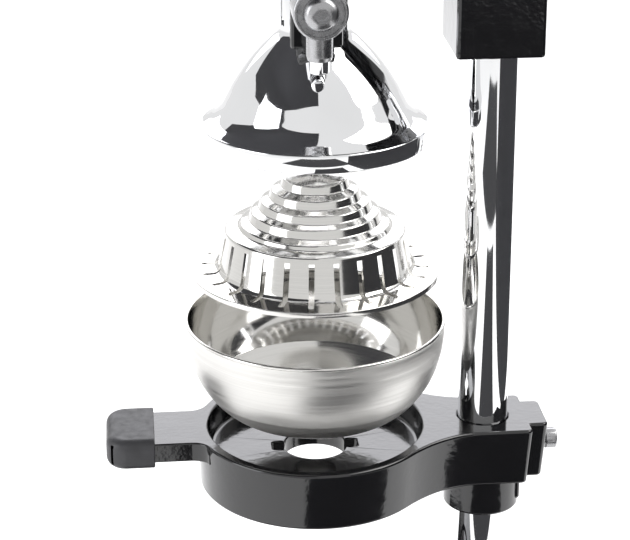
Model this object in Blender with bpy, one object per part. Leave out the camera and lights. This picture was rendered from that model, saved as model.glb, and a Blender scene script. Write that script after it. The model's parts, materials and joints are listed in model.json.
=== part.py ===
"""Hand-lever citrus press: cast base, chrome column, cup holder, bowl, reamer and rack-driven bell.

Metres, +Z up. The origin is on the table, under the middle of the base. The user stands at -X,
the column is at +X, and the lever is on the -Y side, at the user's right hand.
"""
import math

import bmesh
import bpy
from mathutils import Matrix, Vector

# Clearances
TOUCH_GAP = 0.0003          # between pieces that sit on each other
RUN_GAP = 0.0003            # between a shaft and its hole
SLIDE_GAP = 0.0004          # between the column and what slides on it

# Base, feet and column
BASE_LENGTH = 0.264
BASE_WIDTH = 0.178
BASE_THICKNESS = 0.022
BASE_CORNER = 0.026
BASE_EDGE = 0.004
FOOT_HEIGHT = 0.010
FOOT_RADIUS = 0.014
FOOT_INSET = 0.026
FOOT_SCREW_RADIUS = 0.002
FOOT_SCREW_HEAD = 0.0044
FOOT_SCREW_LENGTH = 0.018
DRIP_RADIUS = 0.056
DRIP_DEPTH = 0.002
COLUMN_RADIUS = 0.0138
COLUMN_REACH = 0.094        # from the press axis back to the column
COLUMN_SOCKET = 0.018
BOSS_RADIUS = 0.023
BOSS_HEIGHT = 0.014
COLUMN_BOLT_RADIUS = 0.006
COLUMN_BOLT_GRIP = 0.022    # length of thread inside the column
COLUMN_BOLT_HEAD = 0.0105
COLUMN_BOLT_HEAD_HEIGHT = 0.0065
WASHER_RADIUS = 0.0145
WASHER_THICKNESS = 0.002

# Cup holder
GLASS_SPACE = 0.125         # from the base's top to the holder's underside
HOLDER_HEIGHT = 0.0325
HOLDER_RADIUS = 0.0655
HOLDER_DRAFT = 0.0015
HOLDER_WALL = 0.0057
RECESS_DEPTH = 0.014
HOLDER_FLOOR = 0.0088
HOLE_RADIUS = 0.0175
NOTCH_WIDTH = 0.010
NOTCH_REACH = 0.0065
ARM_HALF_WIDTH = 0.0235
ARM_REAR = 0.0245           # behind the column's axis
LUG_REAR = 0.0345
LUG_HALF_WIDTH = 0.0150
COLLAR_RADIUS = 0.021
COLLAR_LENGTH = 0.020
TAB_HALF_WIDTH = 0.0205
TAB_THICKNESS = 0.011
TAB_REACH = 0.047           # beyond the ring's wall
CAP_WALL = 0.0028
CAP_COVER = 0.0235          # length of tab inside the rubber cap
CAP_END = 0.0045
HOLDER_SCREW_RADIUS = 0.003

# Bowl and strainer
BOWL_RADIUS = 0.0704
BOWL_RIM_DEPTH = 0.008
BOWL_CORNER = 0.047
BOWL_WALL = 0.0014
SPOUT_RADIUS = 0.0130
SPOUT_LENGTH = 0.008
LUG_WIDTH = 0.009
LUG_REACH = 0.0050
LUG_THICKNESS = 0.0035
BOWL_LIFT = 0.0225          # how far the bowl is held above its seat
STRAINER_RADIUS = 0.0671
STRAINER_WALL = 0.0014
STRAINER_RAISE = 0.0292     # flange above the bowl's rim
STRAINER_STEPS = ((0.0170, 0.0518), (0.0233, 0.0451), (0.0290, 0.0389), (0.0343, 0.0330),
                  (0.0400, 0.0268), (0.0483, 0.0225))
SLOT_COUNT = 24
SLOT_WIDTH = 0.0030

# Press bell and its rack
BELL_RIM_HEIGHT = 0.175     # bell's rim top above the holder's top
BELL_RADIUS = 0.0603
BELL_BAND = 0.0099
BELL_HEIGHT = 0.0500        # rim top up to the neck
BELL_WALL = 0.0026
NECK_RADIUS = 0.0185
NECK_ABOVE_SHAFT = 0.012
GEAR_MODULE = 0.00125
PINION_TEETH = 18
GEAR_BACKLASH = 0.00030
GEAR_FACE = 0.0100
RACK_BACK = 0.0030
LEVER_SWING = math.radians(145)
PIN_RADIUS = 0.0015

# Head casting and lever
SHAFT_HEIGHT = 0.071        # shaft axis above the bell's rim top
SHAFT_FORWARD = 0.0020      # shaft axis in front of the bell's axis
SHAFT_RADIUS = 0.006
CHEEK_HALF_WIDTH = 0.0134
CHEEK_INSIDE = 0.0245
CHEEK_THICKNESS = 0.0065
CHEEK_DROP = 0.024
BUSH_WALL = 0.002
BUSH_FLANGE = 0.0015
HOUSING_BOTTOM = 0.009      # above the shaft axis
HOUSING_TOP = 0.050
HOUSING_HALF_LENGTH = 0.030
HEAD_CAP_THICKNESS = 0.004
BRIDGE_HALF_WIDTH = 0.018
BRIDGE_TOP = 0.044
CLAMP_HALF_LENGTH = 0.0234
CLAMP_HALF_WIDTH = 0.024
CLAMP_BOTTOM = 0.034        # below the shaft axis
CLAMP_TOP = 0.046
CLAMP_SPLIT = 0.003
CLAMP_SCREW_RADIUS = 0.003
HUB_RADIUS = 0.0139
HUB_LENGTH = 0.0195
SLEEVE_RADIUS = 0.0068
SLEEVE_DROP = 0.0260
SLEEVE_RISE = 0.0240
ROD_RADIUS = 0.0050
ROD_BACK = 0.009            # rod axis behind the hub's front face
ROD_TAIL = 0.0328
ROD_RISE = 0.232
GRIP_START = 0.118
GRIP_LENGTH = 0.112
GRIP_RADIUS = 0.0135
BUTTON_RADIUS = 0.0088
BUTTON_HEIGHT = 0.0048
HUB_BOLT_RADIUS = 0.003

# Places worked out from the sizes
BASE_UNDERSIDE = FOOT_HEIGHT + TOUCH_GAP
BASE_TOP = BASE_UNDERSIDE + BASE_THICKNESS
HOLDER_TOP = BASE_TOP + GLASS_SPACE + HOLDER_HEIGHT
RING_FRONT = HOLDER_RADIUS + TAB_REACH + CAP_WALL
PRESS_X = (RING_FRONT - COLUMN_REACH - LUG_REAR) / 2
COLUMN_X = PRESS_X + COLUMN_REACH
FLOOR_TOP = HOLDER_TOP - RECESS_DEPTH
BOWL_HEIGHT = BOWL_RIM_DEPTH + BOWL_CORNER
BOWL_BOTTOM = FLOOR_TOP + TOUCH_GAP + BOWL_LIFT
BOWL_RIM = BOWL_BOTTOM + BOWL_HEIGHT
FLANGE_Z = BOWL_RIM + STRAINER_RAISE
BELL_RIM = HOLDER_TOP + BELL_RIM_HEIGHT
SHAFT_X = PRESS_X - SHAFT_FORWARD
SHAFT_Z = BELL_RIM + SHAFT_HEIGHT
NECK_BOTTOM = BELL_RIM + BELL_HEIGHT
PITCH_RADIUS = GEAR_MODULE * PINION_TEETH / 2
TIP_RADIUS = PITCH_RADIUS + GEAR_MODULE
ROOT_RADIUS = PITCH_RADIUS - 1.25 * GEAR_MODULE
TOOTH_PITCH = math.pi * GEAR_MODULE
STROKE = PITCH_RADIUS * LEVER_SWING
SLOT_FLOOR = SHAFT_Z - TIP_RADIUS - 0.0015
RACK_POCKET = 0.004
CHEEK_OUTSIDE = CHEEK_INSIDE + CHEEK_THICKNESS
HUB_BACK = CHEEK_OUTSIDE + BUSH_FLANGE + 2 * TOUCH_GAP
HUB_FRONT = HUB_BACK + HUB_LENGTH
ROD_Y = -(HUB_FRONT - ROD_BACK)
HEAD_TOP = SHAFT_Z + HOUSING_TOP
COLUMN_BOTTOM = BASE_TOP + BOSS_HEIGHT - COLUMN_SOCKET
COLUMN_TOP = SHAFT_Z + CLAMP_TOP - 0.004

ROUND = 36
HOLDER_ROUND = 48
MEDIUM_ROUND = 20
SMALL_ROUND = 12
PRESS_AXIS = Vector((PRESS_X, 0, 0))
TURN_TO_REAR = Matrix.Rotation(math.pi / 2, 4, "Y")     # a form's +Z end points to +X
TURN_TO_FRONT = Matrix.Rotation(-math.pi / 2, 4, "Y")   # to -X
TURN_TO_NEAR = Matrix.Rotation(math.pi / 2, 4, "X")     # to -Y
TURN_TO_BACK = Matrix.Rotation(-math.pi / 2, 4, "X")    # to +Y

CAST_BLACK = ("black enamel", (0.012, 0.012, 0.013), 0.16, 0.0)
CHROME = ("chrome", (0.86, 0.87, 0.88), 0.05, 1.0)
STAINLESS = ("stainless steel", (0.72, 0.71, 0.68), 0.24, 1.0)
STEEL = ("steel", (0.45, 0.45, 0.46), 0.32, 1.0)
BRONZE = ("bronze", (0.60, 0.42, 0.20), 0.35, 1.0)
RUBBER = ("rubber", (0.030, 0.030, 0.032), 0.75, 0.0)
PLASTIC = ("black plastic", (0.020, 0.020, 0.021), 0.38, 0.0)


def clear_scene():
    for obj in list(bpy.data.objects):
        bpy.data.objects.remove(obj, do_unlink=True)


def material(look):
    name, colour, roughness, metallic = look
    found = bpy.data.materials.get(name)
    if found:
        return found
    made = bpy.data.materials.new(name)
    made.use_nodes = True
    shader = made.node_tree.nodes["Principled BSDF"]
    shader.inputs["Base Color"].default_value = (*colour, 1)
    shader.inputs["Roughness"].default_value = roughness
    shader.inputs["Metallic"].default_value = metallic
    made.diffuse_color = (*colour, 1)
    return made


def piece(name, form, look, axis_empty=None):
    """Turn a finished bmesh into a named object, hung on its joint's empty if it moves."""
    bmesh.ops.remove_doubles(form, verts=form.verts, dist=1e-6)
    bmesh.ops.recalc_face_normals(form, faces=form.faces)
    mesh = bpy.data.meshes.new(name)
    form.to_mesh(mesh)
    form.free()
    mesh.materials.append(material(look))
    mesh.shade_smooth()
    mesh.set_sharp_from_angle(angle=math.radians(32))
    obj = bpy.data.objects.new(name, mesh)
    bpy.context.collection.objects.link(obj)
    if axis_empty:
        mesh.transform(Matrix.Translation(-axis_empty.matrix_world.translation))
        obj.parent = axis_empty
    return obj


def joint_empty(name, place, parent=None):
    empty = bpy.data.objects.new(name, None)
    empty.empty_display_size = 0.02
    bpy.context.collection.objects.link(empty)
    empty.location = place
    if parent:
        empty.parent = parent
        empty.location = Vector(place) - parent.matrix_world.translation
    bpy.context.view_layer.update()
    return empty


def cut(form, tool, operation="DIFFERENCE"):
    """Boolean of two closed forms; both are used up and the result is returned."""
    body, other = (bpy.data.objects.new("working", bpy.data.meshes.new("working")) for _ in range(2))
    for obj, source in ((body, form), (other, tool)):
        bmesh.ops.recalc_face_normals(source, faces=source.faces)
        source.to_mesh(obj.data)
        source.free()
        bpy.context.collection.objects.link(obj)
    modifier = body.modifiers.new("shape", "BOOLEAN")
    modifier.operation = operation
    modifier.solver = "EXACT"
    modifier.object = other
    bpy.context.view_layer.update()
    result = bmesh.new()
    result.from_object(body, bpy.context.evaluated_depsgraph_get())
    for obj in (body, other):
        bpy.data.objects.remove(obj, do_unlink=True)
    bmesh.ops.remove_doubles(result, verts=result.verts, dist=1e-6)
    bmesh.ops.dissolve_degenerate(result, edges=result.edges, dist=1e-7)
    return result


def join(form, other):
    return cut(form, other, "UNION")


def group(*forms):
    """Several separate solids in one form."""
    result = bmesh.new()
    for form in forms:
        mesh = bpy.data.meshes.new("working")
        form.to_mesh(mesh)
        form.free()
        result.from_mesh(mesh)
        bpy.data.meshes.remove(mesh)
    return result


def moved(form, x, y, z):
    bmesh.ops.translate(form, verts=form.verts, vec=(x, y, z))
    return form


def turned(outline, segments=ROUND, closed=False):
    """Spin an outline of (radius, height) points about Z."""
    form = bmesh.new()
    points = [form.verts.new((radius, 0, height)) for radius, height in outline]
    pairs = list(zip(points, points[1:]))
    if closed:
        pairs.append((points[-1], points[0]))
    edges = [form.edges.new(pair) for pair in pairs]
    bmesh.ops.spin(form, geom=points + edges, cent=(0, 0, 0), axis=(0, 0, 1),
                   angle=2 * math.pi, steps=segments, use_merge=True)
    bmesh.ops.remove_doubles(form, verts=form.verts, dist=1e-6)
    bmesh.ops.recalc_face_normals(form, faces=form.faces)
    return form


def cylinder(radius, low, high, segments=SMALL_ROUND, edge=0.0):
    outline = [(0, low), (radius - edge, low), (radius, low + edge), (radius, high - edge), (radius - edge, high), (0, high)]
    if not edge:
        outline = [(0, low), (radius, low), (radius, high), (0, high)]
    return turned(outline, segments)


def block(low, high, edge=0.0, only_upright=False):
    form = bmesh.new()
    bmesh.ops.create_cube(form, size=1)
    low, high = Vector(low), Vector(high)
    size = high - low
    bmesh.ops.scale(form, verts=form.verts, vec=size)
    bmesh.ops.translate(form, verts=form.verts, vec=(low + high) / 2)
    if edge:
        edges = [item for item in form.edges
                 if not only_upright or abs((item.verts[0].co - item.verts[1].co).z) > size.z / 2]
        bmesh.ops.bevel(form, geom=edges, offset=edge, segments=2, profile=0.5, affect="EDGES")
    return form


def prism(outline, low, high):
    """Extrude a plan outline of (x, y) points from one height to another."""
    form = bmesh.new()
    face = form.faces.new([form.verts.new((x, y, low)) for x, y in outline])
    raised = bmesh.ops.extrude_face_region(form, geom=[face])["geom"]
    tops = [item for item in raised if isinstance(item, bmesh.types.BMVert)]
    bmesh.ops.translate(form, verts=tops, vec=(0, 0, high - low))
    bmesh.ops.recalc_face_normals(form, faces=form.faces)
    return form


def lay(form, turn, x=0.0, y=0.0, z=0.0):
    """Turn a form about the origin, then move it."""
    bmesh.ops.transform(form, matrix=turn, verts=form.verts)
    return moved(form, x, y, z)


def arc(centre, radius, start, end, steps):
    """Points of an arc, with angles in degrees."""
    angles = [math.radians(start + (end - start) * step / steps) for step in range(steps + 1)]
    return [(centre[0] + radius * math.cos(angle), centre[1] + radius * math.sin(angle)) for angle in angles]


def hexagon(radius, low, high):
    return cylinder(radius, low, high, 6)


# ---------------------------------------------------------------- base and column

def foot_places():
    x = BASE_LENGTH / 2 - FOOT_INSET
    y = BASE_WIDTH / 2 - FOOT_INSET
    return {"foot_front_right": (-x, -y), "foot_front_left": (-x, y), "foot_rear_right": (x, -y), "foot_rear_left": (x, y)}


def make_base():
    form = block((-BASE_LENGTH / 2, -BASE_WIDTH / 2, BASE_UNDERSIDE), (BASE_LENGTH / 2, BASE_WIDTH / 2, BASE_TOP),
                 BASE_CORNER, only_upright=True)
    rims = [edge for edge in form.edges if all(vert.co.z > BASE_TOP - 1e-5 for vert in edge.verts)]
    bmesh.ops.bevel(form, geom=rims, offset=BASE_EDGE, segments=3, profile=0.5, affect="EDGES")
    boss_top = BASE_TOP + BOSS_HEIGHT
    boss = turned([(0, BASE_TOP - 0.004), (BOSS_RADIUS + 0.004, BASE_TOP - 0.004), (BOSS_RADIUS + 0.004, BASE_TOP),
                   (BOSS_RADIUS, BASE_TOP + 0.004), (BOSS_RADIUS, boss_top - 0.0015), (BOSS_RADIUS - 0.0015, boss_top),
                   (0, boss_top)])
    form = join(form, moved(boss, COLUMN_X, 0, 0))
    socket = cylinder(COLUMN_RADIUS + RUN_GAP, COLUMN_BOTTOM - TOUCH_GAP, boss_top + 0.01, ROUND)
    form = cut(form, moved(socket, COLUMN_X, 0, 0))
    bolt_hole = cylinder(COLUMN_BOLT_RADIUS + RUN_GAP, BASE_UNDERSIDE - 0.01, boss_top)
    form = cut(form, moved(bolt_hole, COLUMN_X, 0, 0))
    head_pocket = cylinder(WASHER_RADIUS + 0.002, BASE_UNDERSIDE - 0.01, BASE_UNDERSIDE + BASE_THICKNESS / 2)
    form = cut(form, moved(head_pocket, COLUMN_X, 0, 0))
    drip = turned([(0, BASE_TOP - DRIP_DEPTH), (DRIP_RADIUS - 0.003, BASE_TOP - DRIP_DEPTH),
                   (DRIP_RADIUS + 0.003, BASE_TOP + DRIP_DEPTH), (0, BASE_TOP + DRIP_DEPTH)])
    form = cut(form, moved(drip, PRESS_X, 0, 0))
    for x, y in foot_places().values():
        top = BASE_UNDERSIDE + FOOT_SCREW_LENGTH - FOOT_HEIGHT + 0.006
        form = cut(form, moved(cylinder(FOOT_SCREW_RADIUS + RUN_GAP, BASE_UNDERSIDE - 0.01, top, 16), x, y, 0))
    return piece("base_casting", form, CAST_BLACK)


def make_feet():
    screw_head_top = 0.0055
    for name, (x, y) in foot_places().items():
        hole = FOOT_SCREW_RADIUS + RUN_GAP
        recess = FOOT_SCREW_HEAD + 0.0008
        form = turned([(recess, 0), (FOOT_RADIUS - 0.001, 0), (FOOT_RADIUS, 0.001), (FOOT_RADIUS - 0.001, FOOT_HEIGHT),
                       (hole, FOOT_HEIGHT), (hole, screw_head_top + TOUCH_GAP), (recess, screw_head_top + TOUCH_GAP)],
                      SMALL_ROUND, closed=True)
        piece(name, moved(form, x, y, 0), RUBBER)
        screw = turned([(0, screw_head_top - 0.0026), (FOOT_SCREW_HEAD - 0.001, screw_head_top - 0.0026),
                        (FOOT_SCREW_HEAD, screw_head_top - 0.0012), (FOOT_SCREW_HEAD, screw_head_top),
                        (FOOT_SCREW_RADIUS, screw_head_top), (FOOT_SCREW_RADIUS, FOOT_SCREW_LENGTH),
                        (0, FOOT_SCREW_LENGTH)], SMALL_ROUND)
        piece(name.replace("foot", "foot_screw"), moved(screw, x, y, 0), STEEL)


def make_column():
    form = turned([(0, COLUMN_BOTTOM), (COLUMN_RADIUS - 0.001, COLUMN_BOTTOM), (COLUMN_RADIUS, COLUMN_BOTTOM + 0.001),
                   (COLUMN_RADIUS, COLUMN_TOP - 0.001), (COLUMN_RADIUS - 0.001, COLUMN_TOP), (0, COLUMN_TOP)], ROUND)
    bore = cylinder(COLUMN_BOLT_RADIUS + RUN_GAP, COLUMN_BOTTOM - 0.01, COLUMN_BOTTOM + COLUMN_BOLT_GRIP + 0.002)
    form = cut(form, bore)
    piece("column", moved(form, COLUMN_X, 0, 0), CHROME)
    washer_top = BASE_UNDERSIDE + BASE_THICKNESS / 2 - TOUCH_GAP
    washer_low = washer_top - WASHER_THICKNESS
    hole = COLUMN_BOLT_RADIUS + RUN_GAP
    washer = turned([(hole, washer_low), (WASHER_RADIUS, washer_low), (WASHER_RADIUS, washer_top), (hole, washer_top)],
                    SMALL_ROUND, closed=True)
    piece("column_washer", moved(washer, COLUMN_X, 0, 0), STEEL)
    head_top = washer_low - TOUCH_GAP
    bolt = hexagon(COLUMN_BOLT_HEAD, head_top - COLUMN_BOLT_HEAD_HEIGHT, head_top)
    shank = cylinder(COLUMN_BOLT_RADIUS, head_top - 0.002, COLUMN_BOTTOM + COLUMN_BOLT_GRIP)
    piece("column_bolt", moved(join(bolt, shank), COLUMN_X, 0, 0), STEEL)
    plug_top = SHAFT_Z + CLAMP_TOP + 0.003
    plug = turned([(0, COLUMN_TOP + TOUCH_GAP), (COLUMN_RADIUS - 0.0008, COLUMN_TOP + TOUCH_GAP),
                   (COLUMN_RADIUS - 0.0008, plug_top - 0.002), (COLUMN_RADIUS - 0.004, plug_top), (0, plug_top)], ROUND)
    piece("column_plug", moved(plug, COLUMN_X, 0, 0), PLASTIC)


# ---------------------------------------------------------------- cup holder

def arm_outline():
    """Plan of the arm: tangent flare from the ring, straight sides, and the clamp lug behind the column."""
    flare_x = COLUMN_REACH - 0.004
    start = math.radians(52)
    ring_x, ring_y = HOLDER_RADIUS * math.cos(start), HOLDER_RADIUS * math.sin(start)
    side = []
    for step in range(7):
        share = step / 6
        x = ring_x + (flare_x - ring_x) * share
        side.append((x, ARM_HALF_WIDTH + (ring_y - ARM_HALF_WIDTH) * (1 - share) ** 2))
    near = [(x, -y) for x, y in side]
    rear = COLUMN_REACH + ARM_REAR
    lug = COLUMN_REACH + LUG_REAR
    near += arc((rear - 0.003, -ARM_HALF_WIDTH + 0.003), 0.003, -90, 0, 3)
    near += [(rear, -LUG_HALF_WIDTH - 0.0015), (rear + 0.0015, -LUG_HALF_WIDTH)]
    near += arc((lug - 0.003, -LUG_HALF_WIDTH + 0.003), 0.003, -90, 0, 3)
    far = [(lug, LUG_HALF_WIDTH - 0.002), (lug - 0.003, LUG_HALF_WIDTH + 0.001), (rear, ARM_HALF_WIDTH - 0.003),
           (rear - 0.004, ARM_HALF_WIDTH)]
    return near + far + side[::-1]


def tab_outline():
    """Plan of the thumb tab with a flare where it meets the ring."""
    tip = HOLDER_RADIUS + TAB_REACH
    fillet = 0.010
    root = math.sqrt(HOLDER_RADIUS ** 2 - (TAB_HALF_WIDTH + fillet) ** 2)
    far = arc((-root - fillet * 1.15, TAB_HALF_WIDTH + fillet), fillet, 0, -90, 5)
    near = [(x, -y) for x, y in far]
    corner = 0.006
    end = arc((-tip + corner, TAB_HALF_WIDTH - corner), corner, 90, 180, 3)
    end += [(x, -y) for x, y in reversed(end)]
    return [(-0.030, TAB_HALF_WIDTH + fillet)] + far + end + near[::-1] + [(-0.030, -TAB_HALF_WIDTH - fillet)]


def make_holder(axis_empty):
    low = -HOLDER_HEIGHT
    foot_radius = HOLDER_RADIUS - HOLDER_DRAFT
    edge = 0.0016
    form = turned([(0, low), (foot_radius - 0.002, low), (foot_radius, low + 0.002), (HOLDER_RADIUS, -edge),
                   (HOLDER_RADIUS - 0.0005, -edge / 3), (HOLDER_RADIUS - edge, 0), (0, 0)], HOLDER_ROUND)
    arm = prism(arm_outline(), low, 0)
    rims = [item for item in arm.edges if all(vert.co.z > -1e-6 for vert in item.verts)]
    bmesh.ops.bevel(arm, geom=rims, offset=0.0012, segments=1, affect="EDGES")
    form = join(form, arm)
    tab = prism(tab_outline(), -TAB_THICKNESS, 0)
    rims = [item for item in tab.edges if abs(item.verts[0].co.z - item.verts[1].co.z) < 1e-6]
    bmesh.ops.bevel(tab, geom=rims, offset=0.0012, segments=1, affect="EDGES")
    form = join(form, tab)
    collar = turned([(0, low - COLLAR_LENGTH), (COLLAR_RADIUS - 0.0015, low - COLLAR_LENGTH),
                     (COLLAR_RADIUS, low - COLLAR_LENGTH + 0.0015), (COLLAR_RADIUS, low + 0.004), (0, low + 0.004)])
    form = join(form, moved(collar, COLUMN_REACH, 0, 0))
    rib_top = low + 0.004
    lug = COLUMN_REACH + LUG_REAR
    rib = prism([(COLUMN_REACH + 0.008, -rib_top), (lug - 0.004, -rib_top), (lug - 0.006, -low + 0.002),
                 (COLUMN_REACH + COLLAR_RADIUS - 0.002, -low + COLLAR_LENGTH - 0.002),
                 (COLUMN_REACH + 0.008, -low + COLLAR_LENGTH - 0.002)], -0.011, 0.011)
    form = join(form, lay(rib, TURN_TO_BACK))
    wall = HOLDER_RADIUS - HOLDER_WALL
    floor = -RECESS_DEPTH
    recess = turned([(0, floor), (wall - 0.0045, floor), (wall - 0.0025, floor + 0.0008), (wall - 0.0014, floor + 0.0025),
                     (wall - 0.0006, -0.0012), (wall - 0.0002, -0.0004), (wall + 0.0006, 0), (wall + 0.0006, 0.01),
                     (0, 0.01)], HOLDER_ROUND)
    form = cut(form, recess)
    under = turned([(0, low - 0.01), (foot_radius - 0.0065, low - 0.01), (foot_radius - 0.0075, floor - HOLDER_FLOOR),
                    (0, floor - HOLDER_FLOOR)], HOLDER_ROUND)
    form = cut(form, under)
    form = cut(form, cylinder(HOLE_RADIUS, low - 0.01, 0.01, ROUND))
    reach = HOLE_RADIUS + NOTCH_REACH
    notch = block((-reach, -NOTCH_WIDTH / 2, low - 0.01), (reach, NOTCH_WIDTH / 2, 0.01), 0.002, only_upright=True)
    form = cut(form, notch)
    bore = cylinder(COLUMN_RADIUS + SLIDE_GAP, low - COLLAR_LENGTH - 0.01, 0.01, ROUND)
    form = cut(form, moved(bore, COLUMN_REACH, 0, 0))
    screw_hole = cylinder(HOLDER_SCREW_RADIUS + RUN_GAP, COLUMN_RADIUS, LUG_REAR + 0.02)
    form = cut(form, lay(screw_hole, TURN_TO_REAR, COLUMN_REACH, 0, low / 2))
    return piece("cup_holder", moved(form, PRESS_X, 0, HOLDER_TOP), CAST_BLACK, axis_empty)


def make_holder_screw(axis_empty):
    """Clamp screw behind the column, with a round knurled knob that clears the lug."""
    start = COLUMN_RADIUS + 0.0008
    knob = LUG_REAR + 0.001
    form = turned([(0, start), (HOLDER_SCREW_RADIUS - 0.0006, start), (HOLDER_SCREW_RADIUS, start + 0.0008),
                   (HOLDER_SCREW_RADIUS, knob), (0.0055, knob), (0.0058, knob + 0.001), (0.0058, knob + 0.0055),
                   (0.0050, knob + 0.0065), (0, knob + 0.0065)], SMALL_ROUND)
    place = HOLDER_TOP - HOLDER_HEIGHT / 2
    piece("holder_clamp_screw", lay(form, TURN_TO_REAR, COLUMN_X, 0, place), STEEL, axis_empty)


def cap_section(grow):
    """Half sizes of the tab's section grown by the rubber's thickness."""
    return TAB_HALF_WIDTH + grow, TAB_THICKNESS / 2 + grow


def make_tab_cap(axis_empty):
    tip = HOLDER_RADIUS + TAB_REACH
    half_width, half_height = cap_section(CAP_WALL + TOUCH_GAP)
    inner = tip - CAP_COVER
    outer = tip + CAP_WALL
    centre_z = -TAB_THICKNESS / 2
    form = block((-outer, -half_width, centre_z - half_height), (-inner, half_width, centre_z + half_height))
    end = [item for item in form.edges if all(vert.co.x < -inner - 0.001 for vert in item.verts)]
    upright = [item for item in end if abs(item.verts[0].co.z - item.verts[1].co.z) > 0.001]
    bmesh.ops.bevel(form, geom=upright, offset=0.011, segments=4, profile=0.5, affect="EDGES")
    rims = [item for item in form.edges
            if abs(item.verts[0].co.z - item.verts[1].co.z) < 1e-6 and min(v.co.x for v in item.verts) < -inner - 1e-5]
    bmesh.ops.bevel(form, geom=rims, offset=0.0062, segments=3, profile=0.5, affect="EDGES")
    hole_width, hole_height = cap_section(TOUCH_GAP)
    hollow = block((-tip - TOUCH_GAP, -hole_width, centre_z - hole_height), (-inner + 0.01, hole_width, centre_z + hole_height),
                   0.0008)
    form = cut(form, hollow)
    piece("tab_cap", moved(form, PRESS_X, 0, HOLDER_TOP), RUBBER, axis_empty)


# ---------------------------------------------------------------- bowl and strainer

def bowl_outside(inset=0.0, steps=7):
    """Profile points from the rim down to the flat bottom, measured from the rim."""
    radius = BOWL_CORNER - inset
    centre = (BOWL_RADIUS - BOWL_CORNER, -BOWL_RIM_DEPTH)
    return arc(centre, radius, 0, -90, steps)


def make_bowl(axis_empty):
    outside = bowl_outside()
    inside = bowl_outside(BOWL_WALL)
    spout_in = SPOUT_RADIUS - BOWL_WALL
    bottom = -BOWL_HEIGHT
    rim = [(BOWL_RADIUS - BOWL_WALL, 0), (BOWL_RADIUS + 0.0006, 0), (BOWL_RADIUS + 0.0006, -0.0018),
           (BOWL_RADIUS, -0.0024)]
    lower = [(SPOUT_RADIUS, bottom), (SPOUT_RADIUS, bottom - SPOUT_LENGTH), (spout_in, bottom - SPOUT_LENGTH),
             (spout_in, bottom + BOWL_WALL)]
    form = turned(rim + outside + lower + inside[::-1], closed=True)
    reach = SPOUT_RADIUS + LUG_REACH
    lug_low = bottom - SPOUT_LENGTH
    for side in (-1, 1):
        ends = sorted((side * (spout_in + 0.0007), side * reach))
        lug = block((ends[0], -LUG_WIDTH / 2, lug_low), (ends[1], LUG_WIDTH / 2, lug_low + LUG_THICKNESS),
                    0.0012, only_upright=True)
        form = join(form, lug)
    piece("bowl", moved(form, PRESS_X, 0, BOWL_RIM), STAINLESS, axis_empty)


def strainer_outside():
    """Stepped dome, then the steep slotted wall and the flange, from the tip outwards; flange top is 0."""
    top_radius, top_height = STRAINER_STEPS[0]
    dome = [(0, top_height + 0.0030), (0.0050, top_height)]
    for (radius, height), (_, next_height) in zip(STRAINER_STEPS, STRAINER_STEPS[1:]):
        dome += [(radius, height), (radius + 0.0008, next_height)]
    wall_radius, wall_height = STRAINER_STEPS[-1]
    skirt = [(wall_radius, wall_height), (wall_radius + 0.0036, 0.0042), (wall_radius + 0.0050, 0.0014),
             (wall_radius + 0.0078, 0.0), (STRAINER_RADIUS - 0.0010, 0.0)]
    return dome, skirt


def strainer_inside(skirt):
    """Plain cone under the steps, then the wall followed at its thickness."""
    slant = STRAINER_WALL * 0.7
    top_radius, top_height = STRAINER_STEPS[0]
    dome = [(0, top_height - STRAINER_WALL), (top_radius - STRAINER_WALL, top_height - STRAINER_WALL)]
    dome += [(radius - slant, next_height - slant)
             for (radius, _), (_, next_height) in zip(STRAINER_STEPS, STRAINER_STEPS[1:])]
    return dome + offset_outline(skirt, STRAINER_WALL)


def offset_outline(outline, distance):
    """Shift an open outline to its inner side by a constant thickness."""
    shifted = []
    for index, point in enumerate(outline):
        before = Vector(outline[max(index - 1, 0)])
        after = Vector(outline[min(index + 1, len(outline) - 1)])
        first = (Vector(point) - before).normalized() if index else (after - Vector(point)).normalized()
        second = (after - Vector(point)).normalized() if index < len(outline) - 1 else first
        direction = (first + second).normalized()
        shifted.append((point[0] + direction.y * distance, point[1] - direction.x * distance))
    return shifted


def make_strainer(axis_empty):
    dome, skirt = strainer_outside()
    inside = strainer_inside(skirt)
    rim = [(STRAINER_RADIUS, -0.0005), (STRAINER_RADIUS, -STRAINER_WALL - 0.0012),
           (STRAINER_RADIUS - STRAINER_WALL, -STRAINER_WALL - 0.0012)]
    form = turned(dome + skirt + rim + inside[::-1])
    wall_radius, wall_height = STRAINER_STEPS[-1]
    inner, outer = wall_radius - 0.0020, wall_radius + 0.0130
    half = SLOT_WIDTH / 2
    slots = []
    for index in range(SLOT_COUNT):
        slot = block((inner, -half, -0.004), (outer, half, wall_height - 0.0028))
        slots.append(lay(slot, Matrix.Rotation(2 * math.pi * (index + 0.5) / SLOT_COUNT, 4, "Z")))
    form = cut(form, group(*slots))
    piece("strainer", moved(form, PRESS_X, 0, FLANGE_Z), STAINLESS, axis_empty)


# ---------------------------------------------------------------- press bell, rack and pinion

def bell_profile():
    """Outside of the bell from the neck down to the rim band; rim top is 0."""
    flank = [(NECK_RADIUS, BELL_HEIGHT), (NECK_RADIUS + 0.0015, BELL_HEIGHT - 0.0020)]
    shoulder = (0.0440, 0.0189)
    for step in range(1, 7):
        share = step / 6
        radius = flank[1][0] + (shoulder[0] - flank[1][0]) * share
        height = flank[1][1] + (shoulder[1] - flank[1][1]) * share
        bulge = 0.0016 * math.sin(math.pi * share)
        flank.append((radius + bulge * 0.7, height + bulge * 0.7))
    flare = [(0.0472, 0.0128), (0.0500, 0.0078), (0.0535, 0.0038), (0.0570, 0.0014), (BELL_RADIUS - 0.0010, 0.0)]
    return flank + flare


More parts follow.
